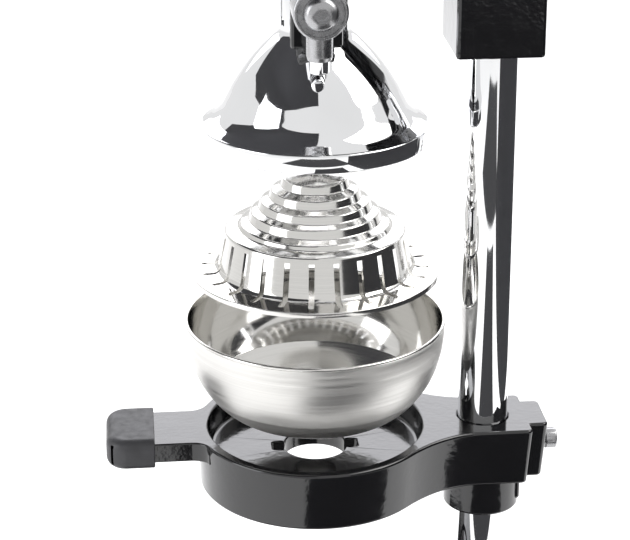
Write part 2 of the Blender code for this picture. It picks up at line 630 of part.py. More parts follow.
def make_bell(axis_empty):
    outside = bell_profile()
    neck_top = SHAFT_Z + NECK_ABOVE_SHAFT - BELL_RIM
    inside = offset_outline(outside[2:], BELL_WALL)[1:]
    inside = [point for point in inside if point[1] > -0.004][:-1]
    band = [(BELL_RADIUS, -0.0010), (BELL_RADIUS, -BELL_BAND + 0.0010), (BELL_RADIUS - 0.0010, -BELL_BAND),
            (BELL_RADIUS - BELL_WALL, -BELL_BAND), (BELL_RADIUS - BELL_WALL - 0.0005, -BELL_WALL)]
    crown = inside[0][1] + 0.0020
    outline = [(0, neck_top), (NECK_RADIUS - 0.0010, neck_top), (NECK_RADIUS, neck_top - 0.0010)] + outside + band
    form = turned(outline + inside[::-1] + [(0, crown)])
    form = moved(form, PRESS_X, 0, BELL_RIM)
    half = GEAR_FACE / 2 + 0.0010
    rear = SHAFT_X + TIP_RADIUS + 0.0010
    over = SHAFT_Z + NECK_ABOVE_SHAFT + 0.01
    form = cut(form, block((PRESS_X - NECK_RADIUS - 0.01, -half, SLOT_FLOOR), (rear, half, over)))
    half = SHAFT_RADIUS + 0.0010
    shaft_slot = join(lay(cylinder(half, -0.05, 0.05), TURN_TO_NEAR, SHAFT_X, 0, SHAFT_Z),
                      block((SHAFT_X - half, -0.05, SHAFT_Z), (SHAFT_X + half, 0.05, over)))
    form = cut(form, shaft_slot)
    half = GEAR_FACE / 2 + TOUCH_GAP
    back, front = rack_back_x(), rack_front_x()
    pocket = block((back - TOUCH_GAP, -half, SLOT_FLOOR - RACK_POCKET), (front + TOUCH_GAP, half, SLOT_FLOOR + 0.002))
    form = cut(form, pocket)
    pin_x, pin_z = rack_pin_place()
    pin_hole = cylinder(PIN_RADIUS + RUN_GAP, -0.0080, 0.03, SMALL_ROUND)
    form = cut(form, lay(pin_hole, TURN_TO_BACK, pin_x, 0, pin_z))
    piece("press_bell", form, CHROME, axis_empty)


def rack_back_x():
    """Outer, plain side of the rack, towards the user."""
    return rack_front_x() - RACK_BACK


def rack_front_x():
    """Root line of the rack's teeth, which point at the pinion."""
    return SHAFT_X - PITCH_RADIUS - 1.25 * GEAR_MODULE


def rack_pin_place():
    return rack_back_x() + RACK_BACK / 2, SLOT_FLOOR - RACK_POCKET / 2


def make_rack(axis_empty):
    back, root = rack_back_x(), rack_front_x()
    pitch_line = SHAFT_X - PITCH_RADIUS
    tip = pitch_line + GEAR_MODULE
    low = SLOT_FLOOR - RACK_POCKET + TOUCH_GAP
    high = SHAFT_Z + STROKE + 2.5 * TOOTH_PITCH
    slope = math.tan(math.radians(20))
    half_pitch = TOOTH_PITCH / 4 - GEAR_BACKLASH / 4
    outline = [(back, low), (root, low)]
    first = math.ceil((SLOT_FLOOR + 0.003 - SHAFT_Z) / TOOTH_PITCH - 0.5)
    last = math.floor((high - 0.002 - SHAFT_Z) / TOOTH_PITCH - 0.5)
    for index in range(first, last + 1):
        centre = SHAFT_Z + (index + 0.5) * TOOTH_PITCH
        wide = half_pitch + (pitch_line - root) * slope
        narrow = half_pitch - (tip - pitch_line) * slope
        outline += [(root, centre - wide), (tip, centre - narrow), (tip, centre + narrow), (root, centre + wide)]
    outline += [(root, high), (back, high)]
    half = GEAR_FACE / 2
    form = prism([(x, -z) for x, z in outline], -half, half)
    form = lay(form, TURN_TO_BACK)
    pin_x, pin_z = rack_pin_place()
    form = cut(form, lay(cylinder(PIN_RADIUS * 0.66 + RUN_GAP, -0.02, 0.02, 16), TURN_TO_NEAR, pin_x, 0, pin_z))
    piece("rack", form, STEEL, axis_empty)
    thin = PIN_RADIUS * 0.66
    far_end = math.sqrt(NECK_RADIUS ** 2 - (pin_x - PRESS_X) ** 2) - 0.0010
    pin = turned([(0, -0.0070), (thin, -0.0070), (thin, GEAR_FACE / 2 + 2 * TOUCH_GAP),
                  (PIN_RADIUS, GEAR_FACE / 2 + 2 * TOUCH_GAP), (PIN_RADIUS, far_end), (0, far_end)], SMALL_ROUND)
    piece("rack_pin", lay(pin, TURN_TO_BACK, pin_x, 0, pin_z), STEEL, axis_empty)


def involute(radius):
    """Involute function of the pressure angle at a radius of the pinion."""
    base = PITCH_RADIUS * math.cos(math.radians(20))
    angle = math.acos(min(base / radius, 1.0))
    return math.tan(angle) - angle


def make_pinion(axis_empty):
    base = PITCH_RADIUS * math.cos(math.radians(20))
    half_at_pitch = (TOOTH_PITCH / 2 - GEAR_BACKLASH / 2) / (2 * PITCH_RADIUS)
    flank_radii = [ROOT_RADIUS, PITCH_RADIUS, TIP_RADIUS - 0.0001]
    outline = []
    for tooth in range(PINION_TEETH):
        centre = math.pi + tooth * 2 * math.pi / PINION_TEETH
        halves = [(radius, half_at_pitch + involute(PITCH_RADIUS) - involute(max(radius, base))) for radius in flank_radii]
        for radius, half in halves:
            outline.append((radius * math.cos(centre - half), radius * math.sin(centre - half)))
        for radius, half in reversed(halves):
            outline.append((radius * math.cos(centre + half), radius * math.sin(centre + half)))
    form = prism(outline, -GEAR_FACE / 2, GEAR_FACE / 2)
    form = cut(form, cylinder(SHAFT_RADIUS + RUN_GAP / 2, -0.02, 0.02, MEDIUM_ROUND))
    key = block((-0.0015, SHAFT_RADIUS - 0.002, -0.02), (0.0015, SHAFT_RADIUS + 0.0014 + 0.0002, 0.02))
    form = cut(form, key)
    form = lay(form, TURN_TO_NEAR, SHAFT_X, 0, SHAFT_Z)
    piece("pinion", form, STEEL, axis_empty)
    drop = RUN_GAP / 2
    key = block((SHAFT_X - 0.0015 + drop, -GEAR_FACE / 2, SHAFT_Z + SHAFT_RADIUS - 0.0016),
                (SHAFT_X + 0.0015 - drop, GEAR_FACE / 2, SHAFT_Z + SHAFT_RADIUS + 0.0014))
    piece("pinion_key", key, STEEL, axis_empty)


def make_shaft(axis_empty):
    """Pinion shaft, far end with a clip groove, near end inside the hub."""
    near = HUB_FRONT - ROD_BACK - ROD_RADIUS - 0.0014
    far = CHEEK_OUTSIDE + BUSH_FLANGE + 0.008
    groove = CHEEK_OUTSIDE + BUSH_FLANGE + 2 * TOUCH_GAP
    neck = SHAFT_RADIUS - 0.0010
    form = turned([(0, -near), (SHAFT_RADIUS, -near), (SHAFT_RADIUS, groove), (neck, groove), (neck, groove + 0.0016),
                   (SHAFT_RADIUS, groove + 0.0016), (SHAFT_RADIUS, far - 0.001), (SHAFT_RADIUS - 0.001, far), (0, far)], MEDIUM_ROUND)
    form = cut(form, cylinder(HUB_BOLT_RADIUS + RUN_GAP, -near - 0.01, -near + 0.012, SMALL_ROUND))
    form = lay(form, TURN_TO_BACK, SHAFT_X, 0, SHAFT_Z)
    keyway = block((SHAFT_X - 0.0015, -GEAR_FACE / 2 - TOUCH_GAP, SHAFT_Z + SHAFT_RADIUS - 0.0018),
                   (SHAFT_X + 0.0015, GEAR_FACE / 2 + TOUCH_GAP, SHAFT_Z + SHAFT_RADIUS + 0.01))
    piece("pinion_shaft", cut(form, keyway), STEEL, axis_empty)
    clip = turned([(neck + RUN_GAP, groove + TOUCH_GAP), (SHAFT_RADIUS + 0.003, groove + TOUCH_GAP),
                   (SHAFT_RADIUS + 0.003, groove + 0.0013), (neck + RUN_GAP, groove + 0.0013)], SMALL_ROUND, closed=True)
    clip = cut(clip, block((-0.0035, -0.02, groove - 0.01), (0.0035, 0, groove + 0.01)))
    piece("shaft_clip", lay(clip, TURN_TO_BACK, SHAFT_X, 0, SHAFT_Z), STEEL, axis_empty)


# ---------------------------------------------------------------- head casting

def make_head():
    wide = CHEEK_OUTSIDE
    low, high = SHAFT_Z + HOUSING_BOTTOM, HEAD_TOP
    form = block((SHAFT_X - HOUSING_HALF_LENGTH, -wide, low), (SHAFT_X + HOUSING_HALF_LENGTH, wide, high), 0.0035)
    bridge = block((SHAFT_X, -BRIDGE_HALF_WIDTH, low + 0.001), (COLUMN_X, BRIDGE_HALF_WIDTH, SHAFT_Z + BRIDGE_TOP), 0.003)
    form = join(form, bridge)
    clamp = block((COLUMN_X - CLAMP_HALF_LENGTH, -CLAMP_HALF_WIDTH, SHAFT_Z - CLAMP_BOTTOM),
                  (COLUMN_X + CLAMP_HALF_LENGTH, CLAMP_HALF_WIDTH, SHAFT_Z + CLAMP_TOP), 0.0020)
    form = join(form, clamp)
    for side in (-1, 1):
        ends = sorted((side * CHEEK_INSIDE, side * CHEEK_OUTSIDE))
        cheek = block((SHAFT_X - CHEEK_HALF_WIDTH, ends[0], SHAFT_Z - CHEEK_DROP),
                      (SHAFT_X + CHEEK_HALF_WIDTH, ends[1], low + 0.006), 0.0018)
        form = join(form, cheek)
    bore = cylinder(COLUMN_RADIUS + RUN_GAP, SHAFT_Z - CLAMP_BOTTOM - 0.01, SHAFT_Z + CLAMP_TOP + 0.01, ROUND)
    form = cut(form, moved(bore, COLUMN_X, 0, 0))
    slit = block((COLUMN_X, -CLAMP_SPLIT / 2, SHAFT_Z - CLAMP_BOTTOM - 0.01),
                 (COLUMN_X + CLAMP_HALF_LENGTH + 0.01, CLAMP_SPLIT / 2, SHAFT_Z + CLAMP_TOP + 0.01))
    form = cut(form, slit)
    for height in clamp_screw_heights():
        hole = cylinder(CLAMP_SCREW_RADIUS + RUN_GAP, -0.0150, 0.05, SMALL_ROUND)
        form = cut(form, lay(hole, TURN_TO_BACK, clamp_screw_x(), 0, height))
    neck_room = cylinder(NECK_RADIUS + 0.0008, low - 0.01, SHAFT_Z + NECK_ABOVE_SHAFT + 0.002, ROUND)
    form = cut(form, moved(neck_room, PRESS_X, 0, 0))
    gear_room = lay(cylinder(TIP_RADIUS + 0.0012, -0.0065, 0.0065, ROUND), TURN_TO_NEAR, SHAFT_X, 0, SHAFT_Z)
    form = cut(form, gear_room)
    half = GEAR_FACE / 2 + 0.0006
    channel = block((rack_back_x() - 0.0006, -half, low - 0.002), (SHAFT_X - PITCH_RADIUS + GEAR_MODULE + 0.0012, half, high + 0.01))
    form = cut(form, channel)
    guide_x = rack_back_x() - 0.0006
    pad_room = block((guide_x - 0.0045, -half, guide_bottom() - TOUCH_GAP), (guide_x + 0.001, half, high + 0.01))
    form = cut(form, pad_room)
    screw_hole = cylinder(0.0025 + RUN_GAP, 0, 0.03, SMALL_ROUND)
    form = cut(form, lay(screw_hole, TURN_TO_FRONT, guide_x - 0.003, 0, guide_screw_z()))
    hole_radius = SHAFT_RADIUS + RUN_GAP + BUSH_WALL + RUN_GAP / 2
    form = cut(form, lay(cylinder(hole_radius, -0.06, 0.06, 36), TURN_TO_NEAR, SHAFT_X, 0, SHAFT_Z))
    for x, y in cap_screw_places():
        form = cut(form, moved(cylinder(0.0015 + RUN_GAP, high - 0.009, high + 0.01, 12), x, y, 0))
    piece("head_casting", form, CAST_BLACK)


def clamp_screw_heights():
    return SHAFT_Z - CLAMP_BOTTOM + 0.016, SHAFT_Z + CLAMP_TOP - 0.016


def clamp_screw_x():
    return COLUMN_X + (COLUMN_RADIUS + CLAMP_HALF_LENGTH) / 2


def guide_bottom():
    return SHAFT_Z + NECK_ABOVE_SHAFT + 0.004


def guide_screw_z():
    return (guide_bottom() + HEAD_TOP) / 2


def cap_screw_places():
    reach_x, reach_y = HOUSING_HALF_LENGTH - 0.008, CHEEK_OUTSIDE - 0.008
    return [(SHAFT_X - reach_x, -reach_y), (SHAFT_X + reach_x, reach_y)]


def socket_screw(radius, head_radius, head_height, length, socket, segments=SMALL_ROUND):
    """Cap screw along +Z: the head's underside is at 0, the thread runs down."""
    form = turned([(0, -length), (radius - 0.0004, -length), (radius, -length + 0.0006), (radius, 0), (head_radius, 0),
                   (head_radius, head_height - 0.0005), (head_radius - 0.0005, head_height), (0, head_height)], segments)
    return cut(form, hexagon(socket, head_height * 0.45, head_height + 0.01))


def make_head_trim():
    half = GEAR_FACE / 2
    guide_x = rack_back_x() - 0.0003
    pad = block((guide_x - 0.0040, -half, guide_bottom()), (guide_x, half, HEAD_TOP - 0.001), 0.0004)
    piece("rack_guide", pad, BRONZE)
    face = guide_x - 0.0040 - TOUCH_GAP
    screw = cylinder(0.0025, 0, face - (SHAFT_X - HOUSING_HALF_LENGTH) - 0.0005, SMALL_ROUND, edge=0.0003)
    screw = cut(screw, hexagon(0.0014, face - (SHAFT_X - HOUSING_HALF_LENGTH) - 0.0025, 0.04))
    piece("guide_screw", lay(screw, TURN_TO_FRONT, face, 0, guide_screw_z()), STEEL)
    low = HEAD_TOP + TOUCH_GAP
    inset = 0.0015
    cap = block((SHAFT_X - HOUSING_HALF_LENGTH + inset, -CHEEK_OUTSIDE + inset, low),
                (SHAFT_X + HOUSING_HALF_LENGTH - inset, CHEEK_OUTSIDE - inset, low + HEAD_CAP_THICKNESS), 0.0012)
    for end, (x, y) in zip(("front", "rear"), cap_screw_places()):
        cap = cut(cap, moved(cylinder(0.0015 + RUN_GAP, low - 0.01, low + 0.02, 12), x, y, 0))
        screw = socket_screw(0.0015, 0.0028, 0.0022, HEAD_CAP_THICKNESS + 0.006, 0.0014, 12)
        piece("head_cap_screw_" + end, moved(screw, x, y, low + HEAD_CAP_THICKNESS + TOUCH_GAP), STEEL)
    piece("head_cap", cap, CAST_BLACK)
    for end, height in zip(("lower", "upper"), clamp_screw_heights()):
        screw = socket_screw(CLAMP_SCREW_RADIUS, 0.005, 0.005, CLAMP_HALF_WIDTH + 0.0140, 0.0028)
        screw = lay(screw, TURN_TO_BACK, clamp_screw_x(), CLAMP_HALF_WIDTH + TOUCH_GAP, height)
        piece("head_clamp_screw_" + end, screw, STEEL)
    inner, outer = SHAFT_RADIUS + RUN_GAP, SHAFT_RADIUS + RUN_GAP + BUSH_WALL
    for name, turn in (("near_bush", TURN_TO_NEAR), ("far_bush", TURN_TO_BACK)):
        flange = CHEEK_OUTSIDE + TOUCH_GAP
        bush = turned([(inner, CHEEK_INSIDE + 0.0005), (outer, CHEEK_INSIDE + 0.0005), (outer, flange),
                       (outer + 0.0022, flange), (outer + 0.0022, flange + BUSH_FLANGE), (inner, flange + BUSH_FLANGE)],
                      MEDIUM_ROUND, closed=True)
        piece(name, lay(bush, turn, SHAFT_X, 0, SHAFT_Z), BRONZE)


# ---------------------------------------------------------------- lever

def make_hub(axis_empty):
    edge = 0.0012
    hub = turned([(0, HUB_BACK), (HUB_RADIUS - edge, HUB_BACK), (HUB_RADIUS, HUB_BACK + edge),
                  (HUB_RADIUS, HUB_FRONT - edge), (HUB_RADIUS - edge, HUB_FRONT), (0, HUB_FRONT)], ROUND)
    hub = lay(hub, TURN_TO_NEAR)
    sleeve = turned([(0, -SLEEVE_DROP), (SLEEVE_RADIUS - 0.0018, -SLEEVE_DROP), (SLEEVE_RADIUS - 0.0005, -SLEEVE_DROP + 0.0007),
                     (SLEEVE_RADIUS, -SLEEVE_DROP + 0.0022), (SLEEVE_RADIUS, SLEEVE_RISE - 0.0020),
                     (SLEEVE_RADIUS - 0.0015, SLEEVE_RISE), (0, SLEEVE_RISE)], MEDIUM_ROUND)
    form = join(hub, moved(sleeve, 0, ROD_Y, 0))
    form = cut(form, moved(cylinder(ROD_RADIUS + RUN_GAP, -0.05, 0.05, 36), 0, ROD_Y, 0))
    shaft_end = HUB_FRONT - ROD_BACK - ROD_RADIUS - 0.0014 + TOUCH_GAP
    form = cut(form, lay(cylinder(SHAFT_RADIUS + RUN_GAP / 2, 0.01, shaft_end, 36), TURN_TO_NEAR))
    form = cut(form, lay(cylinder(HUB_BOLT_RADIUS + RUN_GAP, 0.02, HUB_FRONT + 0.01, 16), TURN_TO_NEAR))
    piece("lever_hub", moved(form, SHAFT_X, 0, SHAFT_Z), STEEL, axis_empty)
    dome = [(BUTTON_RADIUS, 0), (BUTTON_RADIUS, 0.0008), (BUTTON_RADIUS * 0.95, 0.0022), (BUTTON_RADIUS * 0.80, 0.0037),
            (BUTTON_RADIUS * 0.55, BUTTON_HEIGHT), (0, BUTTON_HEIGHT)]
    bolt = turned([(0, -0.0275), (HUB_BOLT_RADIUS - 0.0004, -0.0275), (HUB_BOLT_RADIUS, -0.0269), (HUB_BOLT_RADIUS, 0)] + dome, MEDIUM_ROUND)
    bolt = cut(bolt, hexagon(0.0032, BUTTON_HEIGHT - 0.0030, BUTTON_HEIGHT + 0.01))
    piece("hub_bolt", lay(bolt, TURN_TO_NEAR, SHAFT_X, -HUB_FRONT - TOUCH_GAP, SHAFT_Z), STEEL, axis_empty)


def make_lever(axis_empty):
    edge = 0.0012
    rod = turned([(0, -ROD_TAIL), (ROD_RADIUS - edge, -ROD_TAIL), (ROD_RADIUS, -ROD_TAIL + edge),
                  (ROD_RADIUS, ROD_RISE - edge), (ROD_RADIUS - edge, ROD_RISE), (0, ROD_RISE)], MEDIUM_ROUND)
    rod = cut(rod, lay(cylinder(HUB_BOLT_RADIUS + RUN_GAP, -0.02, 0.02, 16), TURN_TO_NEAR))
    piece("lever_rod", moved(rod, SHAFT_X, ROD_Y, SHAFT_Z), CHROME, axis_empty)
    hole = ROD_RADIUS + RUN_GAP
    collar = turned([(hole, GRIP_START - 0.008), (0.0082, GRIP_START - 0.008), (0.0090, GRIP_START - 0.007),
                     (0.0090, GRIP_START - 0.001), (0.0084, GRIP_START - TOUCH_GAP), (hole, GRIP_START - TOUCH_GAP)],
                    MEDIUM_ROUND, closed=True)
    piece("grip_collar", moved(collar, SHAFT_X, ROD_Y, SHAFT_Z), CHROME, axis_empty)
    top = GRIP_START + GRIP_LENGTH
    swell = [(0.72, 0.00), (0.80, 0.015), (0.86, 0.10), (0.93, 0.28), (1.00, 0.55), (0.98, 0.78), (0.90, 0.93), (0.80, 0.985),
             (0.68, 1.00)]
    grip = turned([(hole, GRIP_START)] + [(GRIP_RADIUS * wide, GRIP_START + GRIP_LENGTH * along) for wide, along in swell]
                  + [(hole, top)], MEDIUM_ROUND, closed=True)
    piece("lever_grip", moved(grip, SHAFT_X, ROD_Y, SHAFT_Z), PLASTIC, axis_empty)
    low = top + TOUCH_GAP
    nut = hexagon(0.0082, low, low + 0.0050)
    dome = turned([(0, low + 0.003), (0.0064, low + 0.003), (0.0064, low + 0.0055), (0.0056, low + 0.0085), (0.0034, low + 0.0108),
                   (0, low + 0.0116)], SMALL_ROUND)
    nut = join(nut, dome)
    nut = cut(nut, cylinder(hole, low - 0.01, ROD_RISE + 2 * TOUCH_GAP, MEDIUM_ROUND))
    piece("grip_nut", moved(nut, SHAFT_X, ROD_Y, SHAFT_Z), CHROME, axis_empty)


def build():
    clear_scene()
    holder_axis = joint_empty("holder_slide_axis", (COLUMN_X, 0, HOLDER_TOP))
    bowl_axis = joint_empty("bowl_lift_axis", (PRESS_X, 0, BOWL_RIM), holder_axis)
    strainer_axis = joint_empty("strainer_lift_axis", (PRESS_X, 0, FLANGE_Z), bowl_axis)
    press_axis = joint_empty("press_slide_axis", (PRESS_X, 0, BELL_RIM))
    lever_axis = joint_empty("lever_hinge_axis", (SHAFT_X, 0, SHAFT_Z))
    make_base()
    make_feet()
    make_column()
    make_head()
    make_head_trim()
    make_holder(holder_axis)
    make_holder_screw(holder_axis)
    make_tab_cap(holder_axis)
    make_bowl(bowl_axis)
    make_strainer(strainer_axis)
    make_bell(press_axis)
    make_rack(press_axis)
    make_pinion(lever_axis)
    make_shaft(lever_axis)
    make_hub(lever_axis)
    make_lever(lever_axis)


build()
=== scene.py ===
"""Looks for the hand-lever citrus press: enamel castings, chrome column and bell, steel bowl and strainer."""
import json
import math

import bpy
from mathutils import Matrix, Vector


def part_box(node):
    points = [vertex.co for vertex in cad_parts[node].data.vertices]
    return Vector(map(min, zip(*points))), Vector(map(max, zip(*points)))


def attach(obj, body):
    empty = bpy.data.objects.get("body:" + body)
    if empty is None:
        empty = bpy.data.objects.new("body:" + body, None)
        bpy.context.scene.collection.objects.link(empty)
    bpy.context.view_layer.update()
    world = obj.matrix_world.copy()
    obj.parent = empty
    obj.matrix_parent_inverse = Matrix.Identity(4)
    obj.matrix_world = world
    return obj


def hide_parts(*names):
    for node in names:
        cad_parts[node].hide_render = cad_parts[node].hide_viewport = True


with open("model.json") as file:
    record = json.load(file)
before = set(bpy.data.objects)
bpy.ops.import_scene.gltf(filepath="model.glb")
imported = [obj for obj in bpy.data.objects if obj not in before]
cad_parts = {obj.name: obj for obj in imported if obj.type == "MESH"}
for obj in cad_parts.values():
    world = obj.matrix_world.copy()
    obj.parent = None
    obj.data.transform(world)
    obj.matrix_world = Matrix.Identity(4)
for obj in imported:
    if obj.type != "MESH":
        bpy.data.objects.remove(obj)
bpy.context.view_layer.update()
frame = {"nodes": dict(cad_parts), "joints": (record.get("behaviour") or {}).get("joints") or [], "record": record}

bl_info = {
    "name": "Citrus press looks",
    "version": (1, 0, 0),
    "blender": (4, 5, 0),
    "location": "3D Viewport > Sidebar > Press",
    "description": "Models the finished pieces of a hand-lever citrus press and its studio",
    "category": "Object",
}

MM = 0.001
FIT_GAP = 0.3 * MM              # room left around a seated part
SAME_PLACE = 0.01 * MM          # points this close count as level with each other
COLUMN_BOLT_HOLE = 6.3 * MM
FOOT_SCREW_HOLE = 2.3 * MM
HOLDER_SCREW_HOLE = 3.3 * MM
HUB_BOLT_HOLE = 3.3 * MM
SHAFT_HOLE = 6.15 * MM
PIN_HOLE = 1.8 * MM
CORNERS = ("front_right", "front_left", "rear_right", "rear_left")

# Finishes of each material slot; a hollow stainless piece has the second one outside
FINISHES = {
    "black_enamel": ["Black enamel"],
    "chrome": ["Chrome plate"],
    "stainless": ["Polished stainless", "Satin stainless"],
    "steel": ["Bright steel"],
    "bronze": ["Turned bronze"],
    "rubber": ["Moulded rubber"],
    "black_plastic": ["Grip plastic"],
}

# Places read from the frame
PRESS_X = (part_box("bowl")[0].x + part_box("bowl")[1].x) / 2
COLUMN_X = (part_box("column")[0].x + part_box("column")[1].x) / 2
COLUMN_RADIUS = (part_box("column")[1].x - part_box("column")[0].x) / 2
HOLDER_LOW, HOLDER_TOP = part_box("cup_holder")[0].z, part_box("cup_holder")[1].z
HOLDER_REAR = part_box("cup_holder")[1].x - PRESS_X
TAB_TIP = PRESS_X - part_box("cup_holder")[0].x
BOWL_LOW, BOWL_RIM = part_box("bowl")[0].z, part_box("bowl")[1].z
BOWL_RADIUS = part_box("bowl")[1].y
STRAINER_LOW, STRAINER_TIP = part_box("strainer")[0].z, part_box("strainer")[1].z
STRAINER_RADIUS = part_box("strainer")[1].y
BELL_LOW, BELL_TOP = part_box("press_bell")[0].z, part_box("press_bell")[1].z
BELL_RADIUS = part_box("press_bell")[1].y
SHAFT = Vector(next(j["pos_m"] for j in frame["joints"] if j["name"] == "lever_hinge"))
ROD_Y = (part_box("lever_rod")[0].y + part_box("lever_rod")[1].y) / 2
HUB_FRONT_Y, HUB_BACK_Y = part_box("lever_hub")[0].y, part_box("lever_hub")[1].y

# Steps around a turned piece
TUBE_STEPS = 96
BOWL_STEPS = 192
SCREW_STEPS = 24


# ---------------------------------------------------------------- settings

def length(name, about, default, low=0.0, high=0.1):
    return bpy.props.FloatProperty(name=name, description=about, default=default, min=low, max=high,
                                   subtype="DISTANCE", unit="LENGTH")


def share(name, about, default):
    return bpy.props.FloatProperty(name=name, description=about, default=default, min=0.0, max=1.0,
                                   subtype="FACTOR")


def tint(name, about, default):
    return bpy.props.FloatVectorProperty(name=name, description=about, default=default, size=3, min=0.0,
                                         max=1.0, subtype="COLOR")


class EnamelSettings(bpy.types.PropertyGroup):
    colour: tint("Enamel colour", "Colour of the glossy enamel", (0.006, 0.006, 0.007))
    roughness: share("Enamel roughness", "Blur of the enamel's reflections", 0.10)
    ripple: length("Ripple spacing", "Distance between the enamel's small waves", 2.6 * MM, 0.5 * MM, 0.02)
    ripple_height: length("Ripple height", "Height of the enamel's small waves", 0.075 * MM, 0.0, 0.001)


class MetalSettings(bpy.types.PropertyGroup):
    chrome: tint("Chrome colour", "Reflection colour of the chrome plate", (0.93, 0.935, 0.945))
    chrome_roughness: share("Chrome roughness", "Blur of the chrome's reflections", 0.035)
    stainless: tint("Stainless colour", "Reflection colour of the stainless steel", (0.80, 0.79, 0.765))
    polished: share("Polished roughness", "Blur inside the bowl and on the strainer", 0.10)
    satin: share("Satin roughness", "Blur on the outside of the bowl", 0.40)
    marks: length("Turning marks", "Distance between spinning marks", 0.35 * MM, 0.05 * MM, 0.01)


class SoftSettings(bpy.types.PropertyGroup):
    rubber: tint("Rubber colour", "Colour of the thumb cap and the feet", (0.030, 0.030, 0.033))
    plastic: tint("Grip colour", "Colour of the lever's grip", (0.018, 0.018, 0.019))


class BodySettings(bpy.types.PropertyGroup):
    base_corner: length("Base corner", "Corner radius of the base in plan", 26 * MM)
    base_edge: length("Base edge", "Rounding of the base's upper edge", 4 * MM)
    boss_radius: length("Boss radius", "Radius of the boss around the column", 23 * MM)
    boss_height: length("Boss height", "Height of the boss above the base", 14 * MM)
    tray_radius: length("Tray radius", "Radius of the shallow tray for the glass", 56 * MM)
    tray_depth: length("Tray depth", "Depth of the tray", 2 * MM)


class HolderSettings(bpy.types.PropertyGroup):
    radius: length("Ring radius", "Outside radius of the holder's ring", 65.5 * MM)
    wall: length("Ring wall", "Thickness of the ring's wall", 5.7 * MM)
    height: length("Ring height", "Height of the ring and its arm", 32.5 * MM)
    recess: length("Recess depth", "Depth of the recess under the bowl", 14 * MM)
    floor: length("Floor", "Thickness of the recess's floor", 8.8 * MM)
    hole_radius: length("Hole radius", "Radius of the hole for the spout", 17.5 * MM)
    notch_width: length("Notch width", "Width of the notches for the spout's lugs", 10 * MM)
    notch_reach: length("Notch reach", "How far the notches reach past the hole", 6.5 * MM)
    arm_half_width: length("Arm half width", "Half the arm's width at the column", 23.5 * MM)
    tab_half_width: length("Tab half width", "Half the thumb tab's width", 20.5 * MM)
    tab_thickness: length("Tab thickness", "Thickness of the thumb tab", 11 * MM)
    edge: length("Edge", "Rounding of the casting's edges", 1.6 * MM)


class BowlSettings(bpy.types.PropertyGroup):
    wall: length("Bowl wall", "Thickness of the bowl's wall", 1.4 * MM)
    depth: length("Bowl depth", "Depth of the bowl without its spout", 55 * MM)
    straight: length("Straight rim", "Height of the straight part under the rim", 8 * MM)
    bead: length("Rim bead", "How far the rim's bead stands out", 0.6 * MM)
    disc_radius: length("Flat disc", "Radius of the flat disc inside the bowl", 31 * MM)
    crease_radius: length("Inner ring", "Radius of the ring where the inside turns to a cone", 57 * MM)
    spout_radius: length("Spout radius", "Outside radius of the spout", 13 * MM)


class StrainerSettings(bpy.types.PropertyGroup):
    wall: length("Strainer wall", "Thickness of the strainer", 1.4 * MM)
    nose: length("Ridge rounding", "Rounding of the strainer's ridges", 1.9 * MM)
    slots: bpy.props.IntProperty(name="Slots", description="Number of juice slots", default=24, min=4, max=60)
    slot_width: length("Slot width", "Width of a juice slot", 3.0 * MM)


class StageSettings(bpy.types.PropertyGroup):
    floor: tint("Floor colour", "Colour of the studio floor", (0.93, 0.93, 0.93))
    softbox: bpy.props.FloatProperty(name="Softbox", description="Power of each main softbox",
                                     default=20.0, min=0.0, unit="POWER")


# ---------------------------------------------------------------- modelling helpers

def deselect_all():
    bpy.ops.object.select_all(action="DESELECT")


def choose(piece):
    deselect_all()
    piece.select_set(True)
    bpy.context.view_layer.objects.active = piece


def one_point(name, place):
    """A new mesh of one point, left in edit mode."""
    deselect_all()
    bpy.ops.mesh.primitive_plane_add(size=1 * MM, location=(0, 0, 0))
    piece = bpy.context.active_object
    piece.name = name
    bpy.ops.object.mode_set(mode="EDIT")
    bpy.ops.mesh.select_all(action="SELECT")
    bpy.ops.mesh.merge(type="CENTER")
    bpy.ops.transform.translate(value=place)
    return piece


def draw(name, points):
    """Draw a line through the points by extruding one point after the other."""
    piece = one_point(name, points[0])
    for start, end in zip(points, points[1:]):
        step = Vector(end) - Vector(start)
        bpy.ops.mesh.extrude_region_move(TRANSFORM_OT_translate={"value": step})
    bpy.ops.mesh.select_all(action="SELECT")
    return piece


def close_up():
    """Merge what meets, point the faces outwards and leave edit mode."""
    bpy.ops.mesh.select_all(action="SELECT")
    bpy.ops.mesh.remove_doubles(threshold=0.5e-6)
    bpy.ops.mesh.normals_make_consistent(inside=False)
    bpy.ops.object.mode_set(mode="OBJECT")


def lathe(name, outline, steps=TUBE_STEPS, closed=False, along="Z", centre=(0, 0, 0)):
    """Spin an outline of (radius, height) points. Heights run along +Z, -Y or +X from the centre."""
    outline = list(outline) + ([outline[0]] if closed else [])
    layouts = {"Z": (lambda r, h: (r, 0, h), (0, 0, 1)), "-Y": (lambda r, h: (r, -h, 0), (0, 1, 0)),
               "X": (lambda r, h: (h, r, 0), (1, 0, 0))}
    lay, axis = layouts[along]
    piece = draw(name, [lay(radius, height) for radius, height in outline])
    bpy.ops.mesh.spin(steps=steps, angle=2 * math.pi, center=(0, 0, 0), axis=axis)
    bpy.ops.mesh.select_all(action="SELECT")
    bpy.ops.transform.translate(value=centre)
    close_up()
    return piece


def round_tool(name, radius, low, high, steps=TUBE_STEPS, along="Z", centre=(0, 0, 0)):
    """A plain round or many-sided tool, for bores and sockets."""
    outline = [(0, low), (radius, low), (radius, high), (0, high)]
    return lathe(name, outline, steps, along=along, centre=centre)


